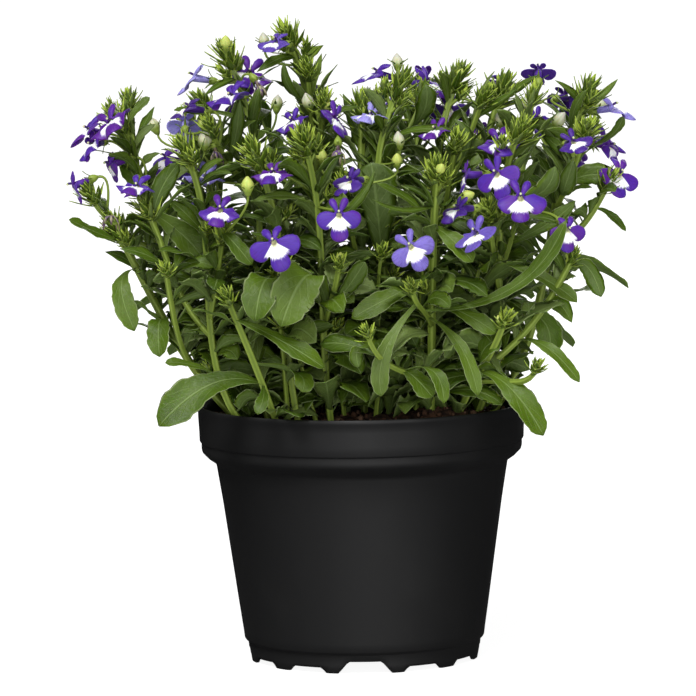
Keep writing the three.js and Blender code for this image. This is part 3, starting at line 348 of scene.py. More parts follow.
# A finish is laid in coats: each is one of its own colours over those before, by a mask.
class Nodes:
    def __init__(self, name, values):
        self.material, self.values, self.colour = bpy.data.materials.new(name), values, None
        self.material.use_nodes = True
        self.tree = self.material.node_tree
        self.tree.nodes.clear()
        self.shader = self.add("ShaderNodeBsdfPrincipled")
        self.link(self.shader.outputs[0], self.add("ShaderNodeOutputMaterial").inputs["Surface"])

    def add(self, kind, **settings):
        node = self.tree.nodes.new(kind)
        for key, value in settings.items():
            setattr(node, key, value)
        return node

    def link(self, output, target):
        self.tree.links.new(output, target)

    def feed(self, target, value):
        if isinstance(value, bpy.types.NodeSocket):
            self.link(value, target)
        else:
            target.default_value = (*value, 1.0) if target.type == "RGBA" else value

    def coat(self, paint, mask=None, amount=None):
        paint = self.values[paint] if isinstance(paint, str) else paint
        mask = self.times(mask, amount) if amount else mask
        self.colour = self.mix(mask, self.colour, paint) if mask else paint

    # Links or sets the shader's own sockets.
    def finish(self, sockets):
        for name, value in {"Base Color": self.colour, **sockets}.items():
            self.feed(self.shader.inputs[name], value)
        return self.material

    def math(self, operation, a, b=0.0, c=0.0, clamp=False):
        node = self.add("ShaderNodeMath", operation=operation, use_clamp=clamp)
        for socket, value in zip(node.inputs, (a, b, c)):
            self.feed(socket, value)
        return node.outputs[0]

    def plus(self, a, b, clamp=False):
        return self.math("ADD", a, b, clamp=clamp)

    def times(self, a, b):
        return self.math("MULTIPLY", a, b)

    # Value times gain, plus offset.
    def scaled(self, value, gain, offset):
        return self.math("MULTIPLY_ADD", value, gain, offset)

    # Smooth step from 0 at low to 1 at high.
    def step(self, value, low, high):
        node = self.add("ShaderNodeMapRange", interpolation_type="SMOOTHSTEP")
        for key, entry in (("Value", value), ("From Min", low), ("From Max", high)):
            self.feed(node.inputs[key], entry)
        return node.outputs[0]

    def mix(self, *values):
        node = self.add("ShaderNodeMix", data_type="RGBA")
        for place, value in zip((0, 6, 7), values):
            self.feed(node.inputs[place], value)
        return node.outputs[2]

    def attribute(self, name):
        return self.add("ShaderNodeAttribute", attribute_name=name).outputs["Fac"]

    def plan(self):
        split = self.add("ShaderNodeSeparateXYZ")
        self.link(self.add("ShaderNodeUVMap", uv_map="plan").outputs[0], split.inputs[0])
        return split.outputs[0], split.outputs[1]

    # Noise in the object's own metres, finer as scale grows.
    def noise(self, scale, detail=2.0, stretch=(1.0, 1.0, 1.0), vector=None):
        place = self.add("ShaderNodeMapping")
        self.feed(place.inputs["Scale"], stretch)
        self.link(vector or self.add("ShaderNodeTexCoord").outputs["Object"], place.inputs["Vector"])
        node = self.add("ShaderNodeTexNoise")
        for key, value in (("Scale", scale), ("Detail", detail), ("Vector", place.outputs[0])):
            self.feed(node.inputs[key], value)
        return node.outputs["Fac"]

    def bump(self, height, strength, distance):
        node = self.add("ShaderNodeBump")
        for key, value in (("Strength", strength), ("Distance", distance), ("Height", height)):
            self.feed(node.inputs[key], value)
        self.link(node.outputs[0], self.shader.inputs["Normal"])


leafFinish = {
    "deep": (0.030, 0.058, 0.002), "fresh": (0.097, 0.158, 0.008), "young": (0.345, 0.455, 0.045),
    "under": (0.070, 0.108, 0.024), "rib": (0.160, 0.225, 0.070), "edge": (0.270, 0.330, 0.150),
    # The grey-green tone below is painted sheen: a pale colour that stands in for light the leaves reflect.
    "paintedSheen": (0.120, 0.155, 0.055), "roughness": 0.44, "veins": 7.0, "bump": 0.5,
}


# Leaf: U runs across the blade and V from foot to tip. The midrib is where |2U - 1| is small, the
# edge where it is near 1, and the side veins are bands of V + 0.35 |2U - 1|.
def makeLeafFinish():
    m, f = Nodes("leafGreen", leafFinish), leafFinish
    u, v = m.plan()
    across = m.math("ABSOLUTE", m.scaled(u, 2.0, -1.0))
    tint, age = m.attribute("tint"), m.attribute("age")
    m.coat("deep")
    m.coat("fresh", m.plus(m.times(tint, 0.75), m.scaled(m.noise(90.0, 3.0), 0.8, -0.4), clamp=True))
    # Painted sheen: leaves of high tint get a grey-green coat in place of the light that they reflect.
    m.coat("paintedSheen", m.step(tint, 0.55, 0.95), 0.6)
    m.coat("young", m.step(age, 0.35, 1.0))
    m.coat("under", m.step(age, -0.4, -1.0))
    wave = m.math("SINE", m.times(m.scaled(across, 0.35, m.math("SUBTRACT", 1.0, v)), 6.283 * f["veins"]))
    vein = m.times(m.step(wave, 0.80, 1.0), m.step(across, 0.95, 0.5))
    lines = m.math("MAXIMUM", m.step(across, 0.10, 0.02), m.times(vein, 0.35))
    m.coat("rib", lines, 0.55)
    m.coat("edge", m.step(across, 0.90, 0.97), 0.7)
    grain, quilt = m.noise(1400.0), m.times(m.noise(420.0), 1.6)
    m.bump(m.plus(m.math("SUBTRACT", quilt, lines), m.times(grain, 0.4)), f["bump"], 0.0004)
    return m.finish({"Roughness": m.scaled(grain, 0.25, f["roughness"] - 0.1), "Specular IOR Level": 0.22,
                     "Subsurface Weight": 0.12, "Subsurface Radius": (0.6, 1.0, 0.3),
                     "Subsurface Scale": 0.001})


stemFinish = {"groove": (0.070, 0.115, 0.010), "ridge": (0.235, 0.320, 0.050), "pale": (0.33, 0.42, 0.070),
              "roughness": 0.45}


# Stem: U is high on the ridges, which are paler, and V runs up the stem.
def makeStemFinish():
    m = Nodes("stemGreen", stemFinish)
    ridge, _ = m.plan()
    blotch = m.scaled(m.noise(150.0, 3.0, (1.0, 1.0, 0.3)), 0.6, -0.3)
    m.coat("groove")
    m.coat("ridge", m.plus(m.times(ridge, 0.75), blotch, clamp=True))
    m.coat("pale", m.attribute("tint"), 0.5)
    m.bump(m.noise(2500.0, 2.0, (1.0, 1.0, 0.2)), 0.3, 0.0002)
    return m.finish({"Roughness": stemFinish["roughness"], "Specular IOR Level": 0.25})


petalFinish = {
    "blue": (0.058, 0.014, 0.275), "purple": (0.082, 0.009, 0.225), "deep": (0.030, 0.005, 0.100),
    "pale": (0.300, 0.275, 0.660), "eye": (0.86, 0.86, 0.90), "throat": (0.75, 0.74, 0.30), "roughness": 0.5,
}


# Petal: U and V are the flat plan of the flower, with the throat in the middle. The white eye is a
# fan below the throat, and fine radial streaks run along the lobes.
def makePetalFinish():
    m = Nodes("petalViolet", petalFinish)
    u, v = m.plan()
    tint, age = m.attribute("tint"), m.attribute("age")
    x, y = m.scaled(u, 2.0, -1.0), m.scaled(v, 2.0, -1.0)
    radius = m.math("SQRT", m.plus(m.times(x, x), m.times(y, y)))
    around = m.add("ShaderNodeCombineXYZ")
    for socket, value in zip(around.inputs,
                             (m.times(m.math("ARCTAN2", y, x), 9.0), m.times(radius, 2.0), tint)):
        m.link(value, socket)
    streaks = m.noise(2.2, 3.0, vector=around.outputs[0])
    m.coat("blue")
    m.coat("purple", m.step(m.plus(m.noise(110.0), m.scaled(tint, 0.8, -0.35)), 0.35, 0.70))
    m.coat("deep", m.step(tint, 0.28, 0.0))
    m.coat("blue", m.step(tint, 0.60, 0.70))
    m.coat("pale", m.step(tint, 0.62, 1.0))
    m.coat("deep", m.step(streaks, 0.45, 0.75), 0.45)
    below = m.math("SUBTRACT", m.scaled(y, -1.0, 0.07), m.times(m.math("ABSOLUTE", x), 0.95))
    inFan = m.step(below, 0.0, 0.06)
    reach = m.plus(radius, m.scaled(streaks, 0.30, -0.15))
    m.coat("eye", m.times(m.times(inFan, age), m.step(reach, 0.72, 0.56)))
    m.coat("throat", m.times(m.step(radius, 0.26, 0.10), inFan), 0.7)
    m.bump(streaks, 0.4, 0.0003)
    return m.finish({"Roughness": petalFinish["roughness"], "Subsurface Weight": 0.25,
                     "Subsurface Radius": (0.6, 0.3, 1.0), "Subsurface Scale": 0.001, "Sheen Weight": 0.1,
                     "Sheen Roughness": 0.4, "Specular IOR Level": 0.3})


budFinish = {"green": (0.230, 0.320, 0.035), "cream": (0.48, 0.54, 0.12), "white": (0.58, 0.58, 0.40),
             "violet": (0.20, 0.10, 0.50), "mottle": (0.20, 0.28, 0.04)}


# Bud: V runs from its foot to its tip. Green at the foot, cream above, violet at the tip of those
# that are about to open.
def makeBudFinish():
    m, f = Nodes("budCream", budFinish), budFinish
    u, v = m.plan()
    m.coat("green")
    m.coat(m.mix(m.step(m.attribute("tint"), 0.5, 0.8), f["cream"], f["white"]), m.step(v, 0.20, 0.65))
    m.coat("green", m.step(m.math("SINE", m.times(u, 31.4)), 0.3, 1.0), 0.35)
    m.coat("violet", m.times(m.step(v, 0.55, 0.95), m.attribute("age")))
    m.coat("mottle", m.noise(700.0), 0.35)
    return m.finish({"Roughness": 0.5, "Subsurface Weight": 0.15, "Subsurface Scale": 0.001})


witheredFinish = {"cream": (0.38, 0.36, 0.20), "violet": (0.10, 0.045, 0.20), "brown": (0.085, 0.050, 0.022)}


# Withered petal: cream streaked with dull violet, browning toward the tip, where V is 1.
def makeWitheredFinish():
    m = Nodes("witheredBrown", witheredFinish)
    _, v = m.plan()
    streaks = m.noise(900.0, 3.0, (1.0, 1.0, 0.25))
    m.coat("cream")
    m.coat("violet", m.step(streaks, 0.42, 0.62))
    m.coat("brown", m.step(v, 0.35, 0.95), 0.7)
    m.bump(streaks, 0.6, 0.0003)
    return m.finish({"Roughness": 0.8, "Specular IOR Level": 0.15})


potFinish = {"black": (0.0030, 0.0030, 0.0032), "dust": (0.0085, 0.0082, 0.0078), "roughness": 0.60}


# Moulded black plastic: fine pebble grain, faint vertical drag marks and a trace of dust.
def makePotFinish():
    m = Nodes("potBlack", potFinish)
    drag, cloud = m.noise(60.0, 4.0, (1.0, 1.0, 0.06)), m.noise(28.0, 4.0)
    m.coat("black")
    m.coat("dust", m.step(cloud, 0.5, 0.8), 0.25)
    m.bump(m.plus(m.times(m.noise(2600.0), 0.5), m.times(drag, 0.8)), 0.12, 0.0002)
    rough = m.scaled(m.plus(cloud, drag), 0.10, potFinish["roughness"] - 0.08)
    return m.finish({"Roughness": rough, "Specular IOR Level": 0.48})


soilFinish = {"dark": (0.012, 0.006, 0.004), "brown": (0.070, 0.033, 0.018), "dry": (0.130, 0.075, 0.045)}


# Soil: clods of two browns, with some crumbs dry.
def makeSoilFinish():
    m = Nodes("soilBrown", soilFinish)
    coarse = m.noise(320.0, 4.0)
    m.coat("dark")
    m.coat("brown", m.step(coarse, 0.35, 0.65))
    m.coat("dry", m.step(m.attribute("tint"), 0.6, 1.0), 0.8)
    m.bump(m.plus(coarse, m.times(m.noise(1500.0, 3.0), 0.5)), 0.8, 0.0008)
    return m.finish({"Roughness": 0.92, "Specular IOR Level": 0.2})


stemGreen, budCream = makeStemFinish(), makeBudFinish()
greens = [stemGreen, makeLeafFinish(), budCream, makeWitheredFinish()]
stemSlot, leafSlot, budSlot, witherSlot = 0, 1, 2, 3
petals = [makePetalFinish(), stemGreen, budCream]
petalSlot = 0
potBlack, soilBrown = makePotFinish(), makeSoilFinish()
print("materials made")


# Pot

pot = {
    "sides": 240, "footRadius": 42.2, "footHeight": 6.8, "bodyFoot": 43.9, "bodyTopRadius": 53.3,
    "bodyTop": 72.5, "shoulderRadius": 58.6, "shoulderTop": 78.0, "stepHeight": 80.2, "rimRadius": 60.0,
    "rimTop": 93.8, "notches": 12, "notchDepth": 2.0, "deepNotch": 4.3, "notchHalf": 6.0, "notchSlope": 0.9,
    "drains": 4, "drainRadius": 3.5, "drainRing": 26.0, "drainSpan": (4.0, 12.0),
}


# Pot wall: a closed profile of (radius, height) turned about Z. The foot's lower edge is raised
# inside each notch, whose sides slope by the notch's own depth.
def makePot():
    p = pot
    outer, foot, body, waist, top = (p["footRadius"], p["footHeight"], p["bodyFoot"], p["bodyTopRadius"],
                                     p["bodyTop"])
    wide, shelf, step, rim, brim = (p["shoulderRadius"], p["shoulderTop"], p["stepHeight"], p["rimRadius"],
                                    p["rimTop"])
    inner = outer - 1.4
    profile = np.array([
        (0.05, 7.0), (20, 7.0), (inner - 0.5, 7.0), (inner - 0.1, 6.6), (inner, 5.0), (inner, 0.25),
        (inner + 0.25, 0), (outer - 0.25, 0), (outer, 0.25), (outer + 0.2, 3.0), (outer + 0.4, foot - 0.3),
        (outer + 0.55, foot + 0.1), (body - 0.35, foot + 0.55), (body, foot + 1.1), (body + 0.4, 11),
        (46.2, 24), (48.6, 41), (51.0, 58), (waist - 0.15, top - 1.2), (waist + 0.1, top - 0.3),
        (waist + 0.6, top + 0.2), (56.2, top + 1.8), (wide - 0.9, top + 3.3), (wide - 0.35, top + 3.9),
        (wide - 0.1, shelf - 0.6), (wide - 0.05, shelf + 0.2), (wide - 0.1, step - 0.4),
        (wide - 0.05, step), (wide + 0.45, step + 0.1), (wide + 0.6, step + 0.4), (59.3, 84), (59.6, 89),
        (rim - 0.35, brim - 2.2), (rim, brim - 1.6), (rim, brim - 0.6), (rim - 0.2, brim - 0.15),
        (rim - 0.5, brim), (rim - 0.95, brim - 0.1), (rim - 1.2, brim - 0.5), (58.4, 88),
        (57.5, shelf + 0.2), (57.0, shelf - 1.0), (52.4, top + 0.8), (52.0, top - 0.5), (49.6, 56),
        (46.2, 30), (42.9, 9.6), (42.0, 9.0), (20, 9.0), (0.05, 9.0),
    ])
    angles, pitch, slope = fullTurn(p["sides"]), 2 * np.pi / p["notches"], p["notchSlope"]
    index = np.round((angles + np.pi / 2) / pitch)
    apart = np.abs(angles + np.pi / 2 - index * pitch) * outer
    depth = np.where(index % 3 == 0, p["deepNotch"], p["notchDepth"])
    notch = np.clip(p["notchHalf"] + slope * depth - apart, 0, slope * depth) / slope
    r, z = profile[:, 0, None], profile[:, 1, None]
    lifted = np.where(z < 4.6, np.maximum(z, notch + 0.06 * z), z)
    heap = newHeap()
    addGrid(heap, np.stack([r * np.cos(angles), r * np.sin(angles), lifted + 0 * angles], -1))
    piece = makePiece("nurseryPot", heap, [potBlack], ["pot"])

    # Drain holes are cut through the floor with rods.
    rods = newHeap()
    for middle in p["drainRing"] * circle(fullTurn(p["drains"])):
        ring = middle + p["drainRadius"] * circle(fullTurn(24))
        addGrid(rods, np.stack([np.column_stack([ring, np.full(24, height)]) for height in p["drainSpan"]]))
    points, quads, tris = (np.concatenate(rods[key]) for key in ("points", "quads", "tris"))
    cutMesh = bpy.data.meshes.new("drainRods")
    cutMesh.from_pydata(points * millimetre, [], quads.tolist() + tris.tolist())
    cutter = placeObject("drainRods", cutMesh)
    cut = piece.modifiers.new("drains", "BOOLEAN")
    cut.operation, cut.solver, cut.object = "DIFFERENCE", "EXACT", cutter
    bpy.context.view_layer.objects.active = piece
    piece.select_set(True)
    bpy.ops.object.modifier_apply(modifier=cut.name)
    bpy.data.objects.remove(cutter)


# Soil

soil = {"top": 88.0, "crown": 4.0, "reach": 57.4, "mound": (32, -38, 6.5), "spread": (22, 11), "crumbs": 1100,
        "seed": 5, "columns": 120, "rows": 34, "skirt": [(56.6, 82.0), (51.4, 72.5), (42.3, 9.4), (0.5, 9.4)]}


# Sum of sine waves whose directions and phases come from a seed: a smooth lumpy field on x, y.
def lumps(x, y, seed, finest, count=24):
    draw = np.random.default_rng(seed)
    total = 0 * x
    for _ in range(count):
        wave = 2 * np.pi / (finest * (1 + 3 * draw.random()))
        turn, phase = draw.random(2) * 2 * np.pi
        total = total + np.sin(wave * (x * np.cos(turn) + y * np.sin(turn)) + phase)
    return total / np.sqrt(count)


# Height of the soil at x, y: top + crown (1 - (r/R)^2) + mound exp(-(dx/a)^2 - (dy/b)^2) plus lumps.
def soilHeight(x, y):
    s, share = soil, np.hypot(x, y) / soil["reach"]
    (east, north, rise), (wide, deep) = s["mound"], s["spread"]
    level = s["crown"] * (1 - share ** 2) + 0.7 * lumps(x, y, 1, 5) + 0.35 * lumps(x, y, 2, 2)
    mound = rise * np.exp(-((x - east) / wide) ** 2 - ((y - north) / deep) ** 2)
    return s["top"] + np.minimum(level, s["crown"] + 1.2) + mound - 0.8 * share ** 6


# Soil: a closed turned body under that height. Crumbs are small uneven balls strewn over it.
def makeSoil():
    s = soil
    angles = fullTurn(s["columns"])
    inner = np.linspace(0.02, 1, s["rows"])[:, None] * s["reach"]
    x, y = inner * np.cos(angles), inner * np.sin(angles)
    skirt = [np.column_stack([r * circle(angles), np.full(len(angles), z)]) for r, z in s["skirt"]]
    heap = newHeap()
    addGrid(heap, np.concatenate([np.stack([x, y, soilHeight(x, y)], -1), skirt]), (0.5, 0.5), 0.2)

    draw, n = np.random.default_rng(s["seed"]), s["crumbs"]
    r, a = s["reach"] * 0.985 * np.sqrt(draw.random(n)), 2 * np.pi * draw.random(n)
    size = 0.45 + 1.1 * draw.random(n) ** 3
    x, y = r * np.cos(a), r * np.sin(a)
    middles = np.stack([x, y, soilHeight(x, y) + 0.25 * size], -1)
    theta, phi = np.pi * (np.arange(4) + 0.7) / 4.4, fullTurn(6)
    ball = np.stack([np.outer(np.sin(theta), np.cos(phi)), np.outer(np.sin(theta), np.sin(phi)),
                     np.outer(np.cos(theta), np.ones(6))], -1)
    wobble, squash = 0.7 + 0.6 * draw.random((n, 4, 6, 1)), 0.6 + 0.8 * draw.random((n, 1, 1, 3))
    grids = ball * wobble * squash * size[:, None, None, None] + middles[:, None, None]
    addGrids(heap, grids, (0.5, 0.5), draw.random((n, 1, 1)))
    makePiece("pottingSoil", heap, [soilBrown], ["soil"])


# Layout of the plant, as in the solids: stems on Bezier curves, with everything kept clear of the
# rest by spheres along it.

growth = {
    "soilTop": 88.0, "soilCrown": 4.0, "rootDepth": 12.0, "tipFlare": 0.35, "footStretch": 0.42,
    "tipStretch": 0.33, "stemRadii": (1.5, 0.75), "sideRadii": (1.05, 0.6), "sampleStep": 3.0,
    "leastGap": 0.35, "ownReach": 5.0, "bloomReach": 9.0, "tubeLength": 6.5, "cupLength": 2.4,
    "seatGap": 0.3, "upperLean": 0.25, "stalkIdeal": 14.0, "stalkTries": 60, "stalkRadius": 0.65,
    "seed": 2711, "rimLimit": (52.3, 95.3), "nearby": 45, "limbRoom": 1.3, "tubeRoom": 1.65,
}


# Shoot from its start to its tip: it leaves leaning outward and arrives nearly upright.
def newShoot(spray, start, tip, lean, main=False):
    g = growth
    span = tip - start
    outward, length = unit(span * [1, 1, 0]), np.linalg.norm(span)
    footAim = unit(lean * outward + (1 - lean) * up)
    tipAim = unit(g["tipFlare"] * outward + (1 - g["tipFlare"]) * up)
    path = np.array([start, start + g["footStretch"] * length * footAim,
                     tip - g["tipStretch"] * length * tipAim, tip])
    walk = curveAt(path, np.linspace(0, 1, 40))
    length = np.linalg.norm(np.diff(walk, axis=0), axis=1).sum()
    return {"spray": spray, "path": path, "main": main, "length": length, "tip": tip,
            "axis": slopeAt(path, np.array([0.97]))[0]}


def placeOn(shoot, along):
    return curveAt(shoot["path"], np.array([along / shoot["length"]]))[0]


def layShoots():
    shoots = []
    for number, (name, ((x, y, *tip, lean), *sides)) in enumerate(sprays.items()):
        spray = {"name": name, "number": number, "heap": newHeap(), "leaves": []}
        foot = np.array([x, y, growth["soilTop"] - growth["rootDepth"]], float)
        stem = newShoot(spray, foot, np.array(tip, float), lean, True)
        shoots.append(stem)
        for at, *tip, lean in sides:
            start = curveAt(stem["path"], np.array([at]))[0]
            shoots.append(newShoot(spray, start, np.array(tip, float), lean))
    return shoots


def nearestSpray(roots, place):
    return min(roots, key=lambda shoot: np.linalg.norm((shoot["path"][0] - place)[:2]))["spray"]


# Short shoots that fill the middle of the plant, spread over the soil by the golden angle. Each
# belongs to the spray whose root is nearest.
fillers = {"count": 44, "reach": 45.0, "spread": 1.35, "lowest": 116.0, "highest": 168.0, "seed": 12,
           "front": -34.0, "headSize": 0.6, "headLeaves": 22}


def layFillers(roots):
    f, shoots = fillers, []
    draw = np.random.default_rng(f["seed"])
    for k in range(f["count"]):
        reach = f["reach"] * np.sqrt((k + 0.5) / f["count"])
        start = reach * heading(golden * k) + (growth["soilTop"] - 3) * up
        rise = f["lowest"] + (f["highest"] - f["lowest"]) * draw.random()
        tip = f["spread"] * reach * heading(golden * k + 30 * (draw.random() - 0.5)) + rise * up
        lean = 0.25 + 0.2 * draw.random()
        if start[1] >= f["front"]:
            shoots.append(newShoot(nearestSpray(roots, start), start, tip, lean))
    return shoots


# Room that is taken: spheres, each with the number of its spray, or of flowers or lines of sight.
flowerRoom, sightRoom = 100, -1
room = {"at": np.zeros((60000, 3)), "radius": np.zeros(60000), "owner": np.zeros(60000, int), "count": 0}


def occupy(at, radius, owner):
    at = np.atleast_2d(at)
    first, last = room["count"], room["count"] + len(at)
    room["at"][first:last], room["radius"][first:last], room["owner"][first:last] = at, radius, owner
    room["count"] = last


# Clear when every sphere keeps the gap to all that are taken, to the soil and to the rim. Its own
# spray counts only past the reach of the foot.
def isClear(at, radius, owner, foot, gap, reach=growth["ownReach"]):
    inside, low = growth["rimLimit"]
    if (at[:, 2] < growth["soilTop"] + growth["soilCrown"] + radius).any():
        return False
    if ((at[:, 2] < low) & (np.hypot(at[:, 0], at[:, 1]) > inside)).any():
        return False
    near = np.abs(room["at"][:room["count"]] - at.mean(axis=0)).max(axis=1) < growth["nearby"]
    places, radii, owners = (room[key][:room["count"]][near] for key in ("at", "radius", "owner"))
    others = (owners != owner) | (np.linalg.norm(places - foot, axis=1) >= reach)
    apart = np.linalg.norm(at[:, None] - places[others], axis=2) - radii[others] - np.reshape(radius, (-1, 1))
    return bool((apart > gap).all())


# Bloom frame: the way it faces, its right and top, its throat, and the point where its cup begins.
def layBloom(row):
    *throat, azimuth, elevation, roll, size, lip = row
    face = unit(climbing(azimuth, elevation))
    right = turnedAbout(unit(np.cross(up, face)), face, roll)
    throat = np.array(throat, float)
    back = growth["tubeLength"] + growth["seatGap"] + growth["cupLength"]
    return {"throat": throat, "face": face, "right": right, "top": np.cross(face, right), "size": size,
            "lip": np.radians(lip), "cup": throat - back * face, "azimuth": azimuth}


# Room of a bloom. A place below the throat turns forward by the lip angle, one above leans back.
def occupyBloom(bloom):
    throat, face = bloom["throat"], bloom["face"]
    angles = np.radians(np.repeat([25, 62, 118, 155, -10, 190, -50, -90, -130], 2))
    reach = growth["bloomReach"] * bloom["size"] * np.tile([0.45, 0.85], 9)
    x, y = reach * np.cos(angles), reach * np.sin(angles)
    fold = np.where(y < 0, bloom["lip"], growth["upperLean"])
    limb = throat + np.outer(x, bloom["right"]) + np.outer(y * np.cos(fold), bloom["top"]) \
        - np.outer(y * np.sin(fold), face)
    occupy(limb, growth["limbRoom"], flowerRoom)
    occupy(throat - np.outer([0, 0.5, 1], face) * growth["tubeLength"], growth["tubeRoom"], flowerRoom)


# Stalk: from the stem whose distance is nearest the ideal, bent to arrive along the cup's axis.
def layStalk(bloom, stems):
    g, cup, at, t = growth, bloom["cup"], stems["at"], stems["t"]
    reach = np.linalg.norm(at - cup, axis=1)
    behind = ((at - cup) @ bloom["face"]) / (reach + 0.01)
    fit = (t > 0.2) & ((1 - t) * stems["length"] > 7) & (at[:, 2] < cup[2] + g["cupLength"])
    cost = np.abs(reach - g["stalkIdeal"]) + 6 * np.maximum(0, behind + 0.2) + np.where(fit, 0, 1e6)
    choices = []
    for k in np.argsort(cost)[:g["stalkTries"]]:
        path = np.array([at[k], cup - 0.45 * reach[k] * bloom["face"], cup])
        spheres, spray = curveAt(path, np.arange(1, 8) / 7), stems["spray"][k]
        choices.append((path, spheres, spray))
        if isClear(spheres, g["stalkRadius"], spray["number"], at[k], g["leastGap"]):
            return choices[-1]
    return choices[0]


# Leaves

# Rings of points: places across the blade, over the top and back beneath.
fineRing = [-1, -0.9, -0.6, -0.3, 0, 0.3, 0.6, 0.9, 1], [0.6, 0, -0.6]
plainRing, slimRing = ([-1, -0.5, 0, 0.5, 1], [0.5, 0, -0.5]), ([-1, 0, 1], [0])

# Outline: half width at places from foot to tip, as a share of the widest.
leafForms = {
    "large": {"place": [0, 0.12, 0.28, 0.44, 0.58, 0.72, 0.86, 0.95, 1.0], "rows": 29, "teeth": 0.12,
              "count": 7, "half": [0.20, 0.26, 0.44, 0.70, 0.88, 1.0, 0.94, 0.66, 0.05], "ring": fineRing},
    "broad": {"place": [0, 0.15, 0.32, 0.5, 0.68, 0.84, 0.95, 1.0], "rows": 13, "teeth": 0.12, "count": 4,
              "half": [0.14, 0.22, 0.58, 0.92, 1.0, 0.84, 0.50, 0.04], "ring": plainRing},
    "middling": {"place": [0, 0.2, 0.42, 0.62, 0.82, 0.94, 1.0], "rows": 9, "teeth": 0.08, "count": 3,
                 "half": [0.2, 0.46, 0.92, 1.0, 0.66, 0.3, 0.03], "ring": plainRing},
    "narrow": {"place": [0, 0.2, 0.45, 0.7, 0.9, 1.0], "rows": 7, "teeth": 0.0, "count": 1,
               "half": [0.3, 0.72, 1.0, 0.78, 0.36, 0.03], "ring": slimRing},
    "bract": {"place": [0, 0.25, 0.5, 0.75, 1.0], "rows": 5, "teeth": 0.0, "count": 1,
              "half": [0.6, 1.0, 0.9, 0.55, 0.04], "ring": slimRing},
}

leafShape = {"thick": 0.32, "edge": 0.10, "groove": 0.20, "wave": 0.19, "toothFrom": 0.35, "twist": 50.0,
             "broadFrom": 6.2, "middlingFrom": 3.4}


# One leaf's numbers: a curve from foot to tip, the way across, and its habit. A curve with one bend
# is raised to one with two.
def leafAlong(path, side, width, chance, age=0.0, kind=None, roll=0.0):
    if len(path) == 3:
        foot, bend, tip = path
        path = [foot, (foot + 2 * bend) / 3, (tip + 2 * bend) / 3, tip]
    s = leafShape
    kind = kind or ("broad" if width > s["broadFrom"]
                    else "middling" if width > s["middlingFrom"] else "narrow")
    return {"path": np.array(path), "side": side, "width": width, "kind": kind, "chance": chance, "age": age,
            "roll": roll}


# Leaf surfaces, for many leaves of one form at once. At u along and x across: half width h(u),
# raised by groove |x|^1.4 h, waved by wave sin(u) x^2 h, with the edge of the far part stepped in
# as teeth.
def addLeaves(heap, leaves, kind, slot=leafSlot):
    s, form = leafShape, leafForms[kind]
    chosen = [leaf for leaf in leaves if leaf["kind"] == kind]
    if not chosen:
        return
    controls, side, width, chance, age, roll = (np.array([leaf[key] for leaf in chosen])
                                                for key in ("path", "side", "width", "chance", "age", "roll"))
    u = np.linspace(0, 1, form["rows"])
    path = np.einsum("uk,nkj->nuj", shares(3, u), controls)
    tangent = unit(np.einsum("uk,nkj->nuj", shares(2, u), np.diff(controls, axis=1)))
    flat = unit(side[:, None] - tangent * (side[:, None] * tangent).sum(-1, keepdims=True))
    normal = np.cross(tangent, flat)
    normal = np.where(normal[..., 2:].mean(axis=1, keepdims=True) < 0, -normal, normal)
    turn = np.radians(roll[:, None] + s["twist"] * (chance - 0.5)[:, None] * u)[..., None]
    across = flat * np.cos(turn) + normal * np.sin(turn)
    normal = normal * np.cos(turn) - flat * np.sin(turn)
    half = np.interp(u, form["place"], form["half"])[None] * width[:, None] / 2
    tooth = (u[None] * form["count"] + chance[:, None]) % 1
    half = (half * (1 - form["teeth"] * tooth ** 1.5 * ((u > s["toothFrom"]) & (u < 0.97))))[..., None]
    over, under = form["ring"]
    x, u = np.array(over + under, float), u[None, :, None]
    chance, young = chance[:, None, None], np.maximum(age, 0)[:, None, None]
    top, bound = np.arange(len(x)) < len(over), np.abs(x) > 0.99
    depth = np.where(bound, 0, np.where(top, 0.5, -0.5)) \
        * (s["thick"] + (s["edge"] - s["thick"]) * np.abs(x) ** 2)
    sway = np.sin(2 * np.pi * ((1.5 + chance) * u + 3 * chance) + np.where(x < 0, 2.2, 0))
    fold = (s["groove"] * (0.3 + 1.2 * chance)) * np.abs(x) ** 1.4 + s["wave"] * sway * x ** 2
    lift = depth * np.minimum(1, 8 * u + 0.3) + fold * half
    grids = path[:, :, None] + across[:, :, None] * (x * half)[..., None] \
        + normal[:, :, None] * lift[..., None]
    uv = np.stack(np.broadcast_arrays(0.5 + 0.5 * x, u), -1)
    addGrids(heap, grids, uv, chance, np.where(top | bound, young, -0.9 + 0.9 * young), slot)


def leafSpheres(leaf):
    t = np.array([0.3, 0.5, 0.7, 0.88, 1])
    swell = np.where(t < 1, 0.3 * leaf["width"] * np.minimum(1, 1.6 * t), 0)
    return curveAt(leaf["path"], t), 0.5 + swell


# Leaf by rule: long, broad and spreading low down, short, narrow and upright above.
def ruleLeaf(base, azimuth, lift, chance):
    high = np.clip((base[2] - 92) / (215 - 92), 0, 1)
    length, width = ((31 - 12 * high) * (0.8 + 0.4 * chance),
                     (12 - 8.6 * np.sqrt(high)) * (0.85 + 0.3 * chance))
    aim = climbing(azimuth, 20 + 38 * high + lift)
    tip = base + 0.95 * length * aim - 0.3 * (1 - high) * length * up
    return leafAlong([base, base + 0.55 * length * aim, tip], acrossFrom(aim), width, chance,
                     0.45 * high ** 2)


# Fuller leaf: it leaves its foot at one slope and ends at another, so that it arches over, and it
# may be rolled to either side. Each pair is for low down and for above.
fuller = {"heights": (95, 205), "lengths": (27, 17), "widths": (10.5, 3.0), "climb": (34, 64), "spread": 44,
          "droop": (40, 70), "roll": 100}


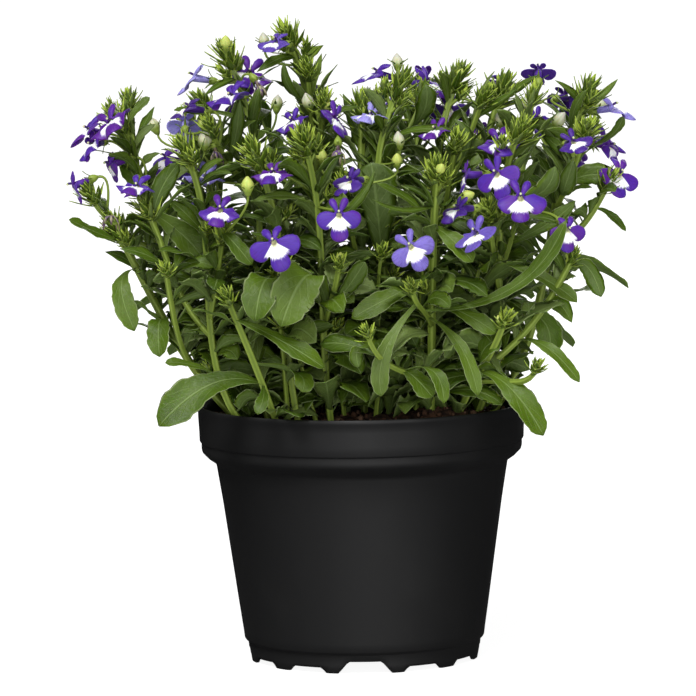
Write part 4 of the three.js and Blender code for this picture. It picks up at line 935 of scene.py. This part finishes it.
def freeLeaf(base, azimuth, chance, scale):
    f = fuller
    low, top = f["heights"]
    high = np.clip((base[2] - low) / (top - low), 0, 1)
    second, third = chance * 7.31 % 1, chance * 23.7 % 1
    length = np.interp(high, [0, 1], f["lengths"]) * (0.75 + 0.5 * second) * scale
    width = np.interp(high ** 0.8, [0, 1], f["widths"]) * (0.75 + 0.5 * third) * scale
    climb = np.interp(high, [0, 1], f["climb"]) + f["spread"] * (chance - 0.5)
    first = climbing(azimuth, climb)
    last = climbing(azimuth + 60 * (second - 0.5),
                    climb - (f["droop"][0] + f["droop"][1] * third) * (1 - 0.6 * high))
    tip = base + length * (0.52 * first + 0.45 * last)
    return leafAlong([base, base + 0.36 * length * first, tip - 0.33 * length * last, tip],
                     np.cross(up, heading(azimuth)), width, chance, 0.5 * high ** 2,
                     roll=f["roll"] * (third - 0.5))


# Stems and stalks: radii from foot to tip, columns, rows, ridge and tint.
tubes = {
    "stem": ((1.2, 1.3, 1.2), 16, 26, 0.14, 0.35), "side": ((1.0, 0.95), 12, 12, 0.14, 0.35),
    "short": ((0.95, 0.65), 8, 12, 0.14, 0.35), "stalk": ((0.55, 0.42, 0.5), 8, 10, 0.08, 0.5),
    "loner": ((0.5, 0.42, 0.45), 7, 8, 0.06, 0.5), "bud": ((0.42, 0.35), 5, 5, 0.0, 0.6),
    "stub": ((0.5, 0.4), 6, 4, 0.0, 0.4), "tipStub": ((0.7, 0.6), 7, 4, 0.1, 0.4),
}


# Tube: a ring of radius r (1 + ridge cos 4a) carried along a curve.
def addTube(heap, path, kind):
    radii, columns, rows, ridge, tint = tubes[kind]
    t = np.linspace(0, 1, rows)
    tangent = slopeAt(path, t)
    side = unit(np.cross(tangent[len(t) // 2], up + [0.01, 0.02, 0]))
    across = unit(np.cross(tangent, side))
    angle = fullTurn(columns)
    wave = np.cos(4 * angle)
    radius = np.interp(t, np.linspace(0, 1, len(radii)), radii)[:, None] * (1 + ridge * wave)
    grid = curveAt(path, t)[:, None] \
        + (radius * np.cos(angle))[..., None] * np.cross(across, tangent)[:, None] \
        + (radius * np.sin(angle))[..., None] * across[:, None]
    addGrid(heap, grid, np.stack(np.broadcast_arrays(0.5 + 0.5 * wave, t[:, None]), -1), tint)


# Buds, cups and such: length, radii from foot to tip, columns, age, bow and slot.
spindles = {
    "bud": (4.0, (0.45, 1.1, 1.45, 1.4, 0.95, 0.25), 8, 0.0, 0.0, budSlot),
    "opening": (7.2, (0.6, 1.1, 1.7, 2.1, 2.2, 2.1, 1.7, 1.0, 0.25), 12, 0.25, 0.05, budSlot),
    "withered": (5.5, (0.5, 0.9, 0.8, 0.7, 0.9), 8, 0.0, 0.0, witherSlot),
    "cup": (3.6, (0.5, 1.15, 1.5, 1.55, 1.25), 9, 0.2, 0.0, stemSlot),
    "column": (2.9, (0.3, 0.38, 0.42, 0.48, 0.4), 7, 0.0, 0.0, petalSlot),
    "brush": (0.9, (0.3, 0.5, 0.42, 0.15), 7, 0.0, 0.0, budSlot),
}


# Spindle: a round ring of those radii carried along an axis, which may bow to one side.
def addSpindle(heap, foot, axis, kind, tint, size=1.0):
    length, radii, columns, age, bow, slot = spindles[kind]
    length, r = length * size, np.array(radii)[:, None] * size
    side = unit(np.cross(axis, up + [0.013, 0.027, 0]))
    t, angle = np.linspace(0, 1, len(radii)), fullTurn(columns)
    middle = foot + np.outer(t * length, axis) + np.outer(bow * length * t * t, side)
    grid = middle[:, None] + (r * np.cos(angle))[..., None] * side \
        + (r * np.sin(angle))[..., None] * np.cross(axis, side)
    addGrid(heap, grid, np.stack(np.broadcast_arrays(angle / (2 * np.pi), t[:, None]), -1), tint, age, slot)


# Head: pointed young leaves crowd round a shoot's tip by the golden angle, long and spreading at its
# foot, short and upright inside, so that they end nearly level. Each pair is for outside and inside.
head = {"leaves": 34, "lowLeaves": 20, "depth": 7.5, "lengths": (11.5, 6.5), "widths": (3.2, 2.2),
        "spread": (50, 8), "low": 155, "lowSize": 0.72, "sideSize": 0.82, "seed": 900}


def growHead(spray, tip, axis, index, size, count, buds=0):
    draw = np.random.default_rng(head["seed"] + index)
    side = unit(np.cross(axis, up + [0.02, 0.01, 0]))
    across = np.cross(axis, side)
    (outer, inner), (broad, slim) = head["lengths"], head["widths"]
    for k in range(count):
        inward = k / (count - 1)
        out = turned(side, across, golden * k + 40 * index)
        spread = np.radians(np.interp(inward, [0, 1], head["spread"]) + 22 * (draw.random() - 0.5))
        length = size * (outer + (inner - outer) * inward) * (0.7 + 0.45 * draw.random())
        foot = tip + axis * size * (1 - head["depth"] * (1 - inward) ** 1.3)
        aim = out * np.sin(spread) + axis * np.cos(spread)
        steps = [unit(aim + 0.35 * out), aim, unit(aim + 0.3 * axis + 0.5 * (draw.random() - 0.4) * out)]
        path = foot + np.concatenate([np.zeros((1, 3)), np.cumsum(steps, axis=0) * length / 3])
        width = (broad + (slim - broad) * inward) * (0.4 + 0.6 * size)
        spray["leaves"].append(leafAlong(path, acrossFrom(out), width, draw.random(),
                                         0.80 + 0.20 * inward, "bract"))
    for k in range(buds):
        out = turned(side, across, golden * (k + 3) + 77 * index)
        aim = unit(out * (0.35 + 0.5 * draw.random()) + axis)
        foot = tip + axis * (-4 + 2 * draw.random())
        end = foot + (1.5 + 3.5 * draw.random()) * aim
        growBud(spray["heap"], foot, end, aim, 0.9 + 0.4 * draw.random(), 0.3 * draw.random())


# Stub: a short side stem that carries a small head.
def growStub(spray, base, end, aim, tube, axis, *habit):
    addTube(spray["heap"], [base, base + 3 * aim, end], tube)
    growHead(spray, end, axis, *habit)


def growBud(heap, foot, end, aim, size, tint):
    addTube(heap, [foot, (foot + end) / 2 + 0.3 * up, end], "bud")
    addSpindle(heap, end - 0.3 * aim, aim, "bud", tint, size)


# Withered flower: a shrunken tube with its lobes hanging from it as curled strips.
def growWithered(heap, end, aim, size):
    tint = 0.3 + 0.05 * size
    draw = np.random.default_rng(int(1000 * tint) + 7)
    addSpindle(heap, end - 0.4 * aim, aim, "withered", tint, size)
    strips, foot = [], end + 4.5 * size * aim
    for k in range(6):
        out = heading(60 * k + 50 * draw.random())
        fall = unit(0.7 * out + 0.5 * aim - up * (0.6 + draw.random()))
        length = size * (5 + 3 * draw.random())
        path = [foot, foot + 0.4 * length * unit(out + aim), foot + 0.7 * length * unit(fall + 0.5 * out),
                foot + length * fall]
        strips.append(leafAlong(path, acrossFrom(out), 1.9 * size, draw.random(), tint, "narrow",
                                80 * (draw.random() - 0.5)))
    addLeaves(heap, strips, "narrow", witherSlot)


# Cup under a flower: a small green cone with five pointed sepals round its mouth.
def growCup(spray, cup, face, right, top):
    addSpindle(spray["heap"], cup - 0.8 * face, face, "cup", 0.6)
    for k in range(5):
        out = turned(right, top, 90 + 72 * k)
        start = cup + 1.3 * face + 1.1 * out
        path = [start, start + 1.5 * face + 0.6 * out, start + 2.6 * face + 2.9 * out]
        spray["leaves"].append(leafAlong(path, acrossFrom(out), 1.0, 0.4, 0.55, "bract"))


# Corolla: each lobe is (middle, half width, length, q, p). Inside and outside are the rings of the
# tube, as (radius, height, radius in the plan).

corolla = {
    "angles": 68, "lobes": [(67, 19, 0.80, 0.50, 3.0), (113, 19, 0.80, 0.50, 3.0), (-18, 38, 0.98, 0.55, 2.8),
                            (198, 38, 0.98, 0.55, 2.8), (-90, 30, 1.10, 0.55, 2.6)],
    "limbRows": np.array([0.2, 0.30, 0.42, 0.56, 0.70, 0.84, 0.95]), "thick": 0.30, "throat": 1.15,
    "notch": 0.22, "join": 0.36, "shrink": 0.95, "droop": 0.34, "edgeCrowd": 1.6,
}


# Angles round the flower, closer together where one lobe ends and the next begins.
def lobeAngles():
    fine = np.linspace(90, 450, 1441)
    density = np.ones(len(fine))
    for middle, half, *_ in corolla["lobes"]:
        for edge in (middle - half, middle + half):
            density += corolla["edgeCrowd"] * np.exp(-(((fine - edge + 180) % 360 - 180) / 6) ** 2)
    total = np.concatenate([[0], np.cumsum((density[1:] + density[:-1]) / 2)])
    return np.interp(np.arange(corolla["angles"]) / corolla["angles"] * total[-1], total, fine)


# Flower surface: a closed profile carried round the throat. Lobe i reaches
# notch + (L - notch) (1 - |d / w|^p)^q at d degrees from its middle. The lip, which is the three
# lobes below y = 0.36 |x|, is folded forward about the throat, the two above lean back, and each
# lobe is bowed back at its edges and end. The middle lobe of a lip that is folded far hangs down.
def bloomGrid(bloom, draw):
    c, size, degrees = corolla, bloom["size"], lobeAngles()
    angle = np.radians(degrees)
    notch = c["notch"] + c["join"] * smooth(-0.30, -0.80, np.sin(angle))
    reach, bowed = notch.copy(), 0 * notch
    for middle, half, length, q, p in c["lobes"]:
        length = length * (0.94 + 0.12 * draw.random())
        middle = middle + 6 * (draw.random() - 0.5)
        apart = np.abs((degrees - middle + 180) % 360 - 180) / half
        lobe = notch + (length - notch) * np.clip(1 - apart ** p, 0, 1) ** q
        lobe = lobe + np.where(apart < 1, 0.02 * np.exp(-(apart * half / 5) ** 2), 0)
        wins = lobe > reach
        reach, bowed = np.where(wins, lobe, reach), np.where(wins & (apart < 1), apart, bowed)
    scale, rows = growth["bloomReach"] * size * c["shrink"], c["limbRows"][:, None]
    flat = np.maximum(rows * reach, c["throat"] / 9 * (1 + 0.25 * rows))
    back = flat[::-2] * 0.985
    limb = np.concatenate([flat, reach[None], back])
    front = np.concatenate([np.zeros(len(flat)), [0.5], np.ones(len(back))])[:, None]
    x, y = limb * np.cos(angle), limb * np.sin(angle)
    share = limb / reach
    lean, reflex, curl = 0.05 + 0.35 * draw.random(), 0.03 + 0.10 * draw.random(), 0.5 * draw.random()
    droop = c["droop"] * smooth(0.9, 1.4, bloom["lip"]) * smooth(-0.5, -0.95, np.sin(angle))
    below = 0.36 * np.abs(x) - y
    fold = np.where(below > 0, bloom["lip"] * smooth(0.0, 0.10, below) * smooth(0.10, 0.26, limb),
                    lean * smooth(0.02, 0.25, y) + curl * smooth(0.4, 0.8, limb))
    ripple = 0.03 * np.sin(5 * angle + 6 * draw.random())
    hump = 0.06 * np.exp(-((np.abs(x) - 0.10) / 0.05) ** 2 - ((y + 0.22) / 0.10) ** 2)
    depth = (-0.085 * bowed ** 2 + ripple) * share ** 2 - (reflex + droop) * share ** 3 + hump \
        - front * c["thick"] / scale
    folded = np.stack([x, y * np.cos(fold) + depth * np.sin(fold),
                       depth * np.cos(fold) - y * np.sin(fold)], -1)

    def rings(*rows):
        radius, height, planRadius = (np.array(column)[:, None, None] for column in zip(*rows))
        ring = circle(angle) * radius
        return np.concatenate([ring, 0 * ring[..., :1] + height], -1), circle(angle) * planRadius

    inside, innerPlan = rings((0.3, -3.4, 0.01), (0.75 * size, -2.6, 0.03), (0.95 * size, -1.0, 0.07),
                              (1.08 * size, -0.3, 0.10))
    outside, outerPlan = rings((1.6 * size, -0.75, 0.9), (1.4, -2.4, 0.9), (1.15, -6.3, 0.9),
                               (0.4, -6.5, 0.9))
    points = np.concatenate([inside, folded * scale, outside])
    plans = np.concatenate([innerPlan, np.stack([x, y], -1), outerPlan])
    age = np.arange(len(points)) <= len(inside) + len(flat)
    world = bloom["throat"] + points @ np.stack([bloom["right"], bloom["top"], bloom["face"]])
    return world, 0.5 + 0.5 * plans, age[:, None].astype(float)


# Stigma and anther tube: a small dark rod over the throat with a white brush at its tip.
def addColumn(heap, bloom):
    face, top = bloom["face"], bloom["top"]
    start, aim = bloom["throat"] - 1.5 * face + 0.7 * top, unit(face + 0.35 * top)
    addSpindle(heap, start, aim, "column", 0.05)
    addSpindle(heap, start + 2.7 * aim, unit(face - 0.3 * top), "brush", 0.95)


# Growing the plant

# Sprays whose stems show between the leaves in front.
frontStems = ["front_tall", "front_left", "left_low", "left_front", "front_middle"]

# Squeeze and share make a leaf's spheres smaller, for the test of its room and for the room it takes.
ruleHabit = {"squeeze": 1.0, "share": 1.0, "gap": growth["leastGap"]}
fullHabit = {"squeeze": 0.6, "share": 0.45, "gap": -1.5}
soilHabit = {"squeeze": 0.5, "share": 0.5, "gap": -1.5, "reach": 0.0}


# Keeps a leaf where there is room for it, and says whether it was kept.
def keepLeaf(spray, leaf, foot, squeeze, share, gap, **reach):
    at, radius = leafSpheres(leaf)
    clear = isClear(at, radius * squeeze, spray["number"], foot, gap, **reach)
    if clear:
        spray["leaves"].append(leaf)
        occupy(at, radius * share, spray["number"])
    return clear


# Sprays' own stems, with points along them all: place, share of the length, length and spray.
def growStems(shoots):
    rows = []
    for shoot in shoots:
        spray, (foot, tip) = shoot["spray"], growth["stemRadii" if shoot["main"] else "sideRadii"]
        count = int(np.ceil(shoot["length"] / growth["sampleStep"]))
        t = np.arange(count + 1) / count
        at = curveAt(shoot["path"], t)
        rows += [(*row, shoot["length"], spray) for row in zip(at, t)]
        occupy(at, foot + (tip - foot) * t, spray["number"])
        addTube(spray["heap"], shoot["path"], "stem" if shoot["main"] else "side")
    at, t, length, spray = zip(*rows)
    return {"at": np.array(at), "t": np.array(t), "length": np.array(length), "spray": spray}


# Buds and withered flowers, each on a stalk from the nearest stem below it.
def growLoner(kind, row, stems):
    *place, azimuth, elevation, size = row
    place, aim = np.array(place, float), climbing(azimuth, elevation)
    reach = np.linalg.norm(stems["at"] - place, axis=1) + 3 * np.maximum(0, stems["at"][:, 2] - place[2] + 6)
    k = np.argmin(reach)
    base, spray = stems["at"][k], stems["spray"][k]
    bend = place - 0.5 * min(reach[k], 14) * unit(aim + 0.6 * up) + 0.1 * (place - base)
    addTube(spray["heap"], [base, bend, place], "loner")
    if kind == "bud":
        growBud(spray["heap"], place, place + 0.5 * aim, aim, size, 0.2)
    elif kind == "opening":
        addSpindle(spray["heap"], place - 0.4 * aim, aim, kind, 0.8, size)
    else:
        growWithered(spray["heap"], place, aim, size)
    right = acrossFrom(aim)
    growCup(spray, place, aim, right, np.cross(aim, right))
    occupy(place + 4 * aim, 2.5, spray["number"])


# Lines of sight: where the first and last spheres stand before a thing, and their radius.
sights = {"bloom": ((8, 90), 3.0), "leaf": ((7, 50), 2.5)}


# Keeps a line of sight free of the leaves that come later.
def keepSight(place, shift, span, radius):
    occupy(place + shift + np.outer(np.arange(*span, 6), unit(viewer - place)), radius, sightRoom)


# Leaves with places of their own. Gives the places of their spheres.
def setLeaves(rows, kind, stems):
    taken = []
    for k, row in enumerate(rows):
        foot, middle, tip, face = np.reshape(row[:12], (4, 3)).astype(float)
        width, age = row[12:]
        nearest = np.argmin(np.linalg.norm(stems["at"] - foot, axis=1))
        spray, bend = stems["spray"][nearest], 2 * middle - (foot + tip) / 2
        leaf = leafAlong([stems["at"][nearest], bend, tip], unit(np.cross(tip - bend, face)), width,
                         0.3 + 0.4 * (k * 0.618 % 1), age, kind)
        spray["leaves"].append(leaf)
        at, radius = leafSpheres(leaf)
        occupy(at, radius, spray["number"])
        taken.append(at)
    return taken


tipStubs = {"turns": (0, 150), "below": 9, "length": 8, "size": 0.62, "leaves": 13}


# Heads on the sprays' own shoots, with two more on stubs below each high one.
def growHeads(shoots):
    s = tipStubs
    for k, shoot in enumerate(shoots):
        spray, tip, axis = shoot["spray"], shoot["tip"], shoot["axis"]
        low = tip[2] < head["low"]
        size = (1.0 if shoot["main"] else head["sideSize"]) * (head["lowSize"] if low else 1.0)
        growHead(spray, tip, axis, k, size, head["lowLeaves" if low else "leaves"], 1 if k % 3 == 0 else 0)
        occupy(tip - np.outer([-2, 3, 8], axis), 3.2, spray["number"])
        for turn in s["turns"] if shoot["main"] and not low else ():
            base = tip - (s["below"] + turn / 50) * axis
            aim = unit(heading(turn + 77 * k) + 1.4 * axis)
            growStub(spray, base, base + s["length"] * aim, aim, "tipStub", unit(aim + 0.8 * axis),
                     400 + 3 * k + turn, s["size"], s["leaves"])


ruled = {"mainFrom": 16, "sideFrom": 6, "bare": 5, "spacing": 40, "tries": 7, "turn": 18, "rise": 5,
         "factor": 16807, "modulus": 2147483647}


# Widely spaced leaves, as in the solids, each turned and raised until it finds room.
def growRuleLeaves(shoots):
    r, state = ruled, growth["seed"]
    for shoot in shoots:
        first = r["mainFrom" if shoot["main"] else "sideFrom"]
        for number, along in enumerate(np.arange(first, shoot["length"] - r["bare"], r["spacing"])):
            base = placeOn(shoot, along)
            state = state * r["factor"] % r["modulus"]
            chance = state / r["modulus"]
            for attempt in range(r["tries"]):
                bent = r["turn"] * np.ceil(attempt / 2) * (1 if attempt % 2 else -1)
                leaf = ruleLeaf(base, number * golden + 360 * chance + bent, r["rise"] * attempt, chance)
                if keepLeaf(shoot["spray"], leaf, base, **ruleHabit):
                    break


# How far from the middle a fuller leaf may reach, at each height. Depth behind the middle counts less.
outline = {"heights": [90, 116, 135, 155, 180], "reaches": [62, 65, 76, 98, 110], "behind": 0.76, "back": 97}


def isWithin(tip):
    depth = tip[1] * (outline["behind"] if tip[1] > 0 else 1)
    return tip[1] <= outline["back"] and \
        np.hypot(tip[0], depth) <= np.interp(tip[2], outline["heights"], outline["reaches"])


# Passes of fuller leaves: (spacing along the shoot, scale, first place, bare length at the tip).
leafPasses = [(10.0, 1.2, 5.0, 11.0), (9.0, 1.0, 9.0, 10.0), (8.0, 0.8, 4.0, 12.0), (5.0, 0.75, 48.0, 8.0),
              (11.0, 1.25, 36.0, 24.0)]
passes = {"seed": 63, "tries": 4, "turn": 80}
stubs = {"from": 24, "until": 0.8, "length": 7, "room": 2.0, "spacing": 15, "size": 0.5, "leaves": 14}


# Fuller leaves on all shoots, then small heads on short stubs along the main ones.
def growFuller(shoots, roots):
    draw = np.random.default_rng(passes["seed"])
    for spacing, scale, first, bare in leafPasses:
        for shoot in shoots:
            along = first
            while along < shoot["length"] - bare:
                base = placeOn(shoot, along)
                chance, azimuth = draw.random(), 360 * draw.random()
                for attempt in range(passes["tries"]):
                    leaf = freeLeaf(base, azimuth + passes["turn"] * attempt, chance, scale)
                    if isWithin(leaf["path"][3]) and keepLeaf(shoot["spray"], leaf, base, **fullHabit):
                        break
                along += spacing * (0.8 + 0.4 * draw.random())
    for k, shoot in enumerate(roots):
        spray, along = shoot["spray"], stubs["from"] + 20 * draw.random()
        while along < stubs["until"] * shoot["length"]:
            base = placeOn(shoot, along)
            aim = unit(heading(360 * draw.random()) + 0.9 * up)
            end = base + stubs["length"] * aim
            if isClear(end[None], np.full(1, stubs["room"]), spray["number"], base, -1.0):
                growStub(spray, base, end, aim, "stub", unit(aim + 0.5 * up), 300 + k, stubs["size"],
                         stubs["leaves"])
                occupy(end, 1.5, spray["number"])
            along += stubs["spacing"] + 14 * draw.random()


soilLeaves = {"count": 170, "length": 36.0, "width": 12.0, "spread": 50.0, "within": 60.0, "seed": 77}


# Broad leaves that rise straight from the soil, on the spray whose root is nearest.
def growSoilLeaves(roots):
    s, draw = soilLeaves, np.random.default_rng(soilLeaves["seed"])
    for _ in range(s["count"]):
        reach, azimuth = s["spread"] * np.sqrt(draw.random()), 360 * draw.random()
        foot = reach * heading(azimuth) + (growth["soilTop"] + 1.5) * up
        chance = draw.random()
        climb = 62 - 30 * reach / s["spread"] + 20 * (draw.random() - 0.5)
        length = s["length"] * (0.75 + 0.5 * draw.random())
        azimuth = azimuth + 50 * (draw.random() - 0.5)
        aim = climbing(azimuth, climb)
        tip = foot + length * aim
        leaf = leafAlong([foot, foot + 0.5 * length * unit(aim + 0.5 * up), tip],
                         acrossFrom(heading(azimuth)), s["width"] * (0.8 + 0.4 * chance), chance,
                         roll=60 * (draw.random() - 0.5))
        if np.hypot(tip[0], tip[1]) < s["within"]:
            keepLeaf(nearestSpray(roots, foot), leaf, foot, **soilHabit)


def growPlant():
    shoots = layShoots()
    roots = [shoot for shoot in shoots if shoot["main"]]
    stems = growStems(shoots)
    blooms = [layBloom(row) for row in freeBlooms + grownBlooms]
    for bloom in blooms:
        occupyBloom(bloom)
    for bloom in blooms:
        path, spheres, spray = layStalk(bloom, stems)
        occupy(spheres, growth["stalkRadius"], spray["number"])
        addTube(spray["heap"], path, "stalk")
        growCup(spray, *(bloom[key] for key in ("cup", "face", "right", "top")))
    for kind, *row in loners:
        growLoner(kind, row, stems)
    for bloom in blooms[:len(freeBlooms)]:
        for down in (0, 4) if abs(bloom["azimuth"]) < 100 else ():
            keepSight(bloom["throat"], -down * up, *sights["bloom"])
    large = setLeaves(placedLeaves, "large", stems)
    growHeads(shoots)
    growRuleLeaves(shoots)
    setLeaves(smallLeaves, None, stems)

    # The large leaves in front and the front stems stay in sight past the fuller leaves.
    shown = [place for at in large if at[:, 1].mean() < 0 for place in at[1:]]
    for shoot in roots:
        if shoot["spray"]["name"] in frontStems:
            shown += list(curveAt(shoot["path"], np.linspace(0.12, 0.62, 9)))
    for place in shown:
        keepSight(place, 0, *sights["leaf"])

    short = layFillers(roots)
    for k, shoot in enumerate(short):
        spray, tip, axis = shoot["spray"], shoot["tip"], shoot["axis"]
        addTube(spray["heap"], shoot["path"], "short")
        growHead(spray, tip, axis, 200 + k, fillers["headSize"], fillers["headLeaves"])
        occupy(tip - np.outer([-1, 3], axis), 2.2, spray["number"])
    growFuller(shoots + short, roots)
    growSoilLeaves(roots)
    print("leaves:", sum(len(shoot["spray"]["leaves"]) for shoot in roots))
    for shoot in roots:
        name, heap = shoot["spray"]["name"], shoot["spray"]["heap"]
        for kind in leafForms:
            addLeaves(heap, shoot["spray"]["leaves"], kind)
        makePiece("foliage_" + name, heap, greens, ["spray_" + name])
    return blooms


# Flowers are gathered in six pieces by the side of the plant that they grow on. Tints belong to the
# flowers of these numbers, and the others draw theirs.
sectors = ["front", "frontRight", "backRight", "back", "backLeft", "frontLeft"]
tints = {5: 1.0, 6: 0.1, 8: 1.0, 10: 0.85, 12: 0.7, 17: 0.15, 18: 0.3, 22: 1.0, 24: 0.1, 25: 0.66, 26: 0.1,
         27: 0.85, 28: 0.15, 30: 0.4, 31: 0.33, 34: 0.15, 35: 0.74, 37: 0.78}


def makeBlooms(blooms):
    draw = np.random.default_rng(41)
    heaps, nodes = {name: newHeap() for name in sectors}, {name: [] for name in sectors}
    for number, bloom in enumerate(blooms, 1):
        x, y, _ = bloom["throat"]
        sector = sectors[int(((np.degrees(np.arctan2(x, -y)) + 390) % 360) // 60)]
        tint = tints.get(number, 0.3 + 0.3 * draw.random())
        grid, plan, age = bloomGrid(bloom, draw)
        addGrid(heaps[sector], grid, plan, tint, age)
        addColumn(heaps[sector], bloom)
        if number <= len(freeBlooms):
            nodes[sector].append(f"bloom_{number:02d}")
    for name, heap in heaps.items():
        if heap["count"]:
            makePiece("blooms_" + name, heap, petals, nodes[name])


makePot()
makeSoil()
makeBlooms(growPlant())


# Stage

stage = {"pale": (0.22, 0.22, 0.22), "white": (1.0, 1.0, 1.0), "glow": 0.92, "half": 2500.0, "below": 0.05}

# Lights are given by place, then aim, size and watts, or strength and spread in degrees for the sun.
lighting = {
    "sky": 0.14, "seen": 1.1, "mirrored": 0.22, "sun": ((-350, -700, 1300), 3.6, 28.0),
    "lamps": {"frontSoft": ((230, -1600, 450), (0, 0, 90), (1300, 1000), 17.5),
              "backSoft": ((300, 1500, 700), (0, 0, 130), (900, 900), 10.0)},
}


def makeStage():
    mesh = bpy.data.meshes.new("floor")
    w, z = stage["half"] * millimetre, -stage["below"] * millimetre
    mesh.from_pydata([(-w, -w, z), (w, -w, z), (w, w, z), (-w, w, z)], [], [(0, 1, 2, 3)])
    floor = placeObject("floor", mesh)
    m = Nodes("paleFloor", stage)
    m.coat("pale")
    mesh.materials.append(m.finish({"Roughness": 0.9, "Emission Color": stage["white"],
                                    "Emission Strength": stage["glow"], "Specular IOR Level": 0.0}))
    floor.visible_glossy = False


# The sky is bright where the camera sees it, and dim where it lights the plant or is mirrored.
def makeSky():
    world = bpy.data.worlds.new("studio")
    world.use_nodes = True
    tree = world.node_tree
    rays, both = tree.nodes.new("ShaderNodeLightPath"), tree.nodes.new("ShaderNodeMath")
    both.operation = "MULTIPLY"
    for socket, ray, usual, then in zip(both.inputs, ("Is Camera Ray", "Is Glossy Ray"),
                                        (lighting["sky"], 1.0), (lighting["seen"], lighting["mirrored"])):
        level = tree.nodes.new("ShaderNodeMapRange")
        level.inputs["To Min"].default_value, level.inputs["To Max"].default_value = usual, then
        tree.links.new(rays.outputs[ray], level.inputs["Value"])
        tree.links.new(level.outputs[0], socket)
    sky = tree.nodes["Background"]
    sky.inputs["Color"].default_value = (*stage["white"], 1.0)
    tree.links.new(both.outputs[0], sky.inputs["Strength"])
    bpy.context.scene.world = world


# Placing matrix of a thing that looks along -back, with its right and its place given.
def frameOf(place, right, back):
    matrix = np.eye(4)
    matrix[:3] = np.stack([right, np.cross(back, right), back, np.array(place) * millimetre], -1)
    return Matrix(matrix.tolist())


def placeLight(name, light, place, aim):
    back = unit(np.subtract(place, aim).astype(float))
    placeObject(name, light).matrix_world = frameOf(place, acrossFrom(back), back)


def makeLights():
    place, strength, spread = lighting["sun"]
    sun = bpy.data.lights.new("softSun", "SUN")
    sun.energy, sun.angle = strength, np.radians(spread)
    placeLight("softSun", sun, place, (0, 0, 0))
    for name, (place, aim, (width, height), watts) in lighting["lamps"].items():
        lamp = bpy.data.lights.new(name, "AREA")
        lamp.shape, lamp.energy = "RECTANGLE", watts
        lamp.size, lamp.size_y = width * millimetre, height * millimetre
        placeLight(name, lamp, place, aim)


camera = {"place": (-4.5, -2000.0, 325.7), "pitch": 6.06, "roll": 0.85, "lens": 285.2, "sensor": 36.0}


def makeCamera():
    pitch, roll = np.radians(camera["pitch"]), np.radians(camera["roll"])
    level, rise = np.array([1.0, 0, 0]), np.array([0, np.sin(pitch), np.cos(pitch)])
    right, back = np.cos(roll) * level - np.sin(roll) * rise, np.array([0, -np.cos(pitch), np.sin(pitch)])
    data = bpy.data.cameras.new("camera")
    data.sensor_fit, data.sensor_width, data.lens = "HORIZONTAL", camera["sensor"], camera["lens"]
    data.clip_start, data.clip_end = 0.1, 100.0
    eye = placeObject("camera", data)
    eye.matrix_world = frameOf(camera["place"], right, back)
    bpy.context.scene.camera = eye


makeStage()
makeSky()
makeLights()
makeCamera()
bpy.context.scene.view_settings.view_transform = "Standard"
print("stage, lights and camera made")
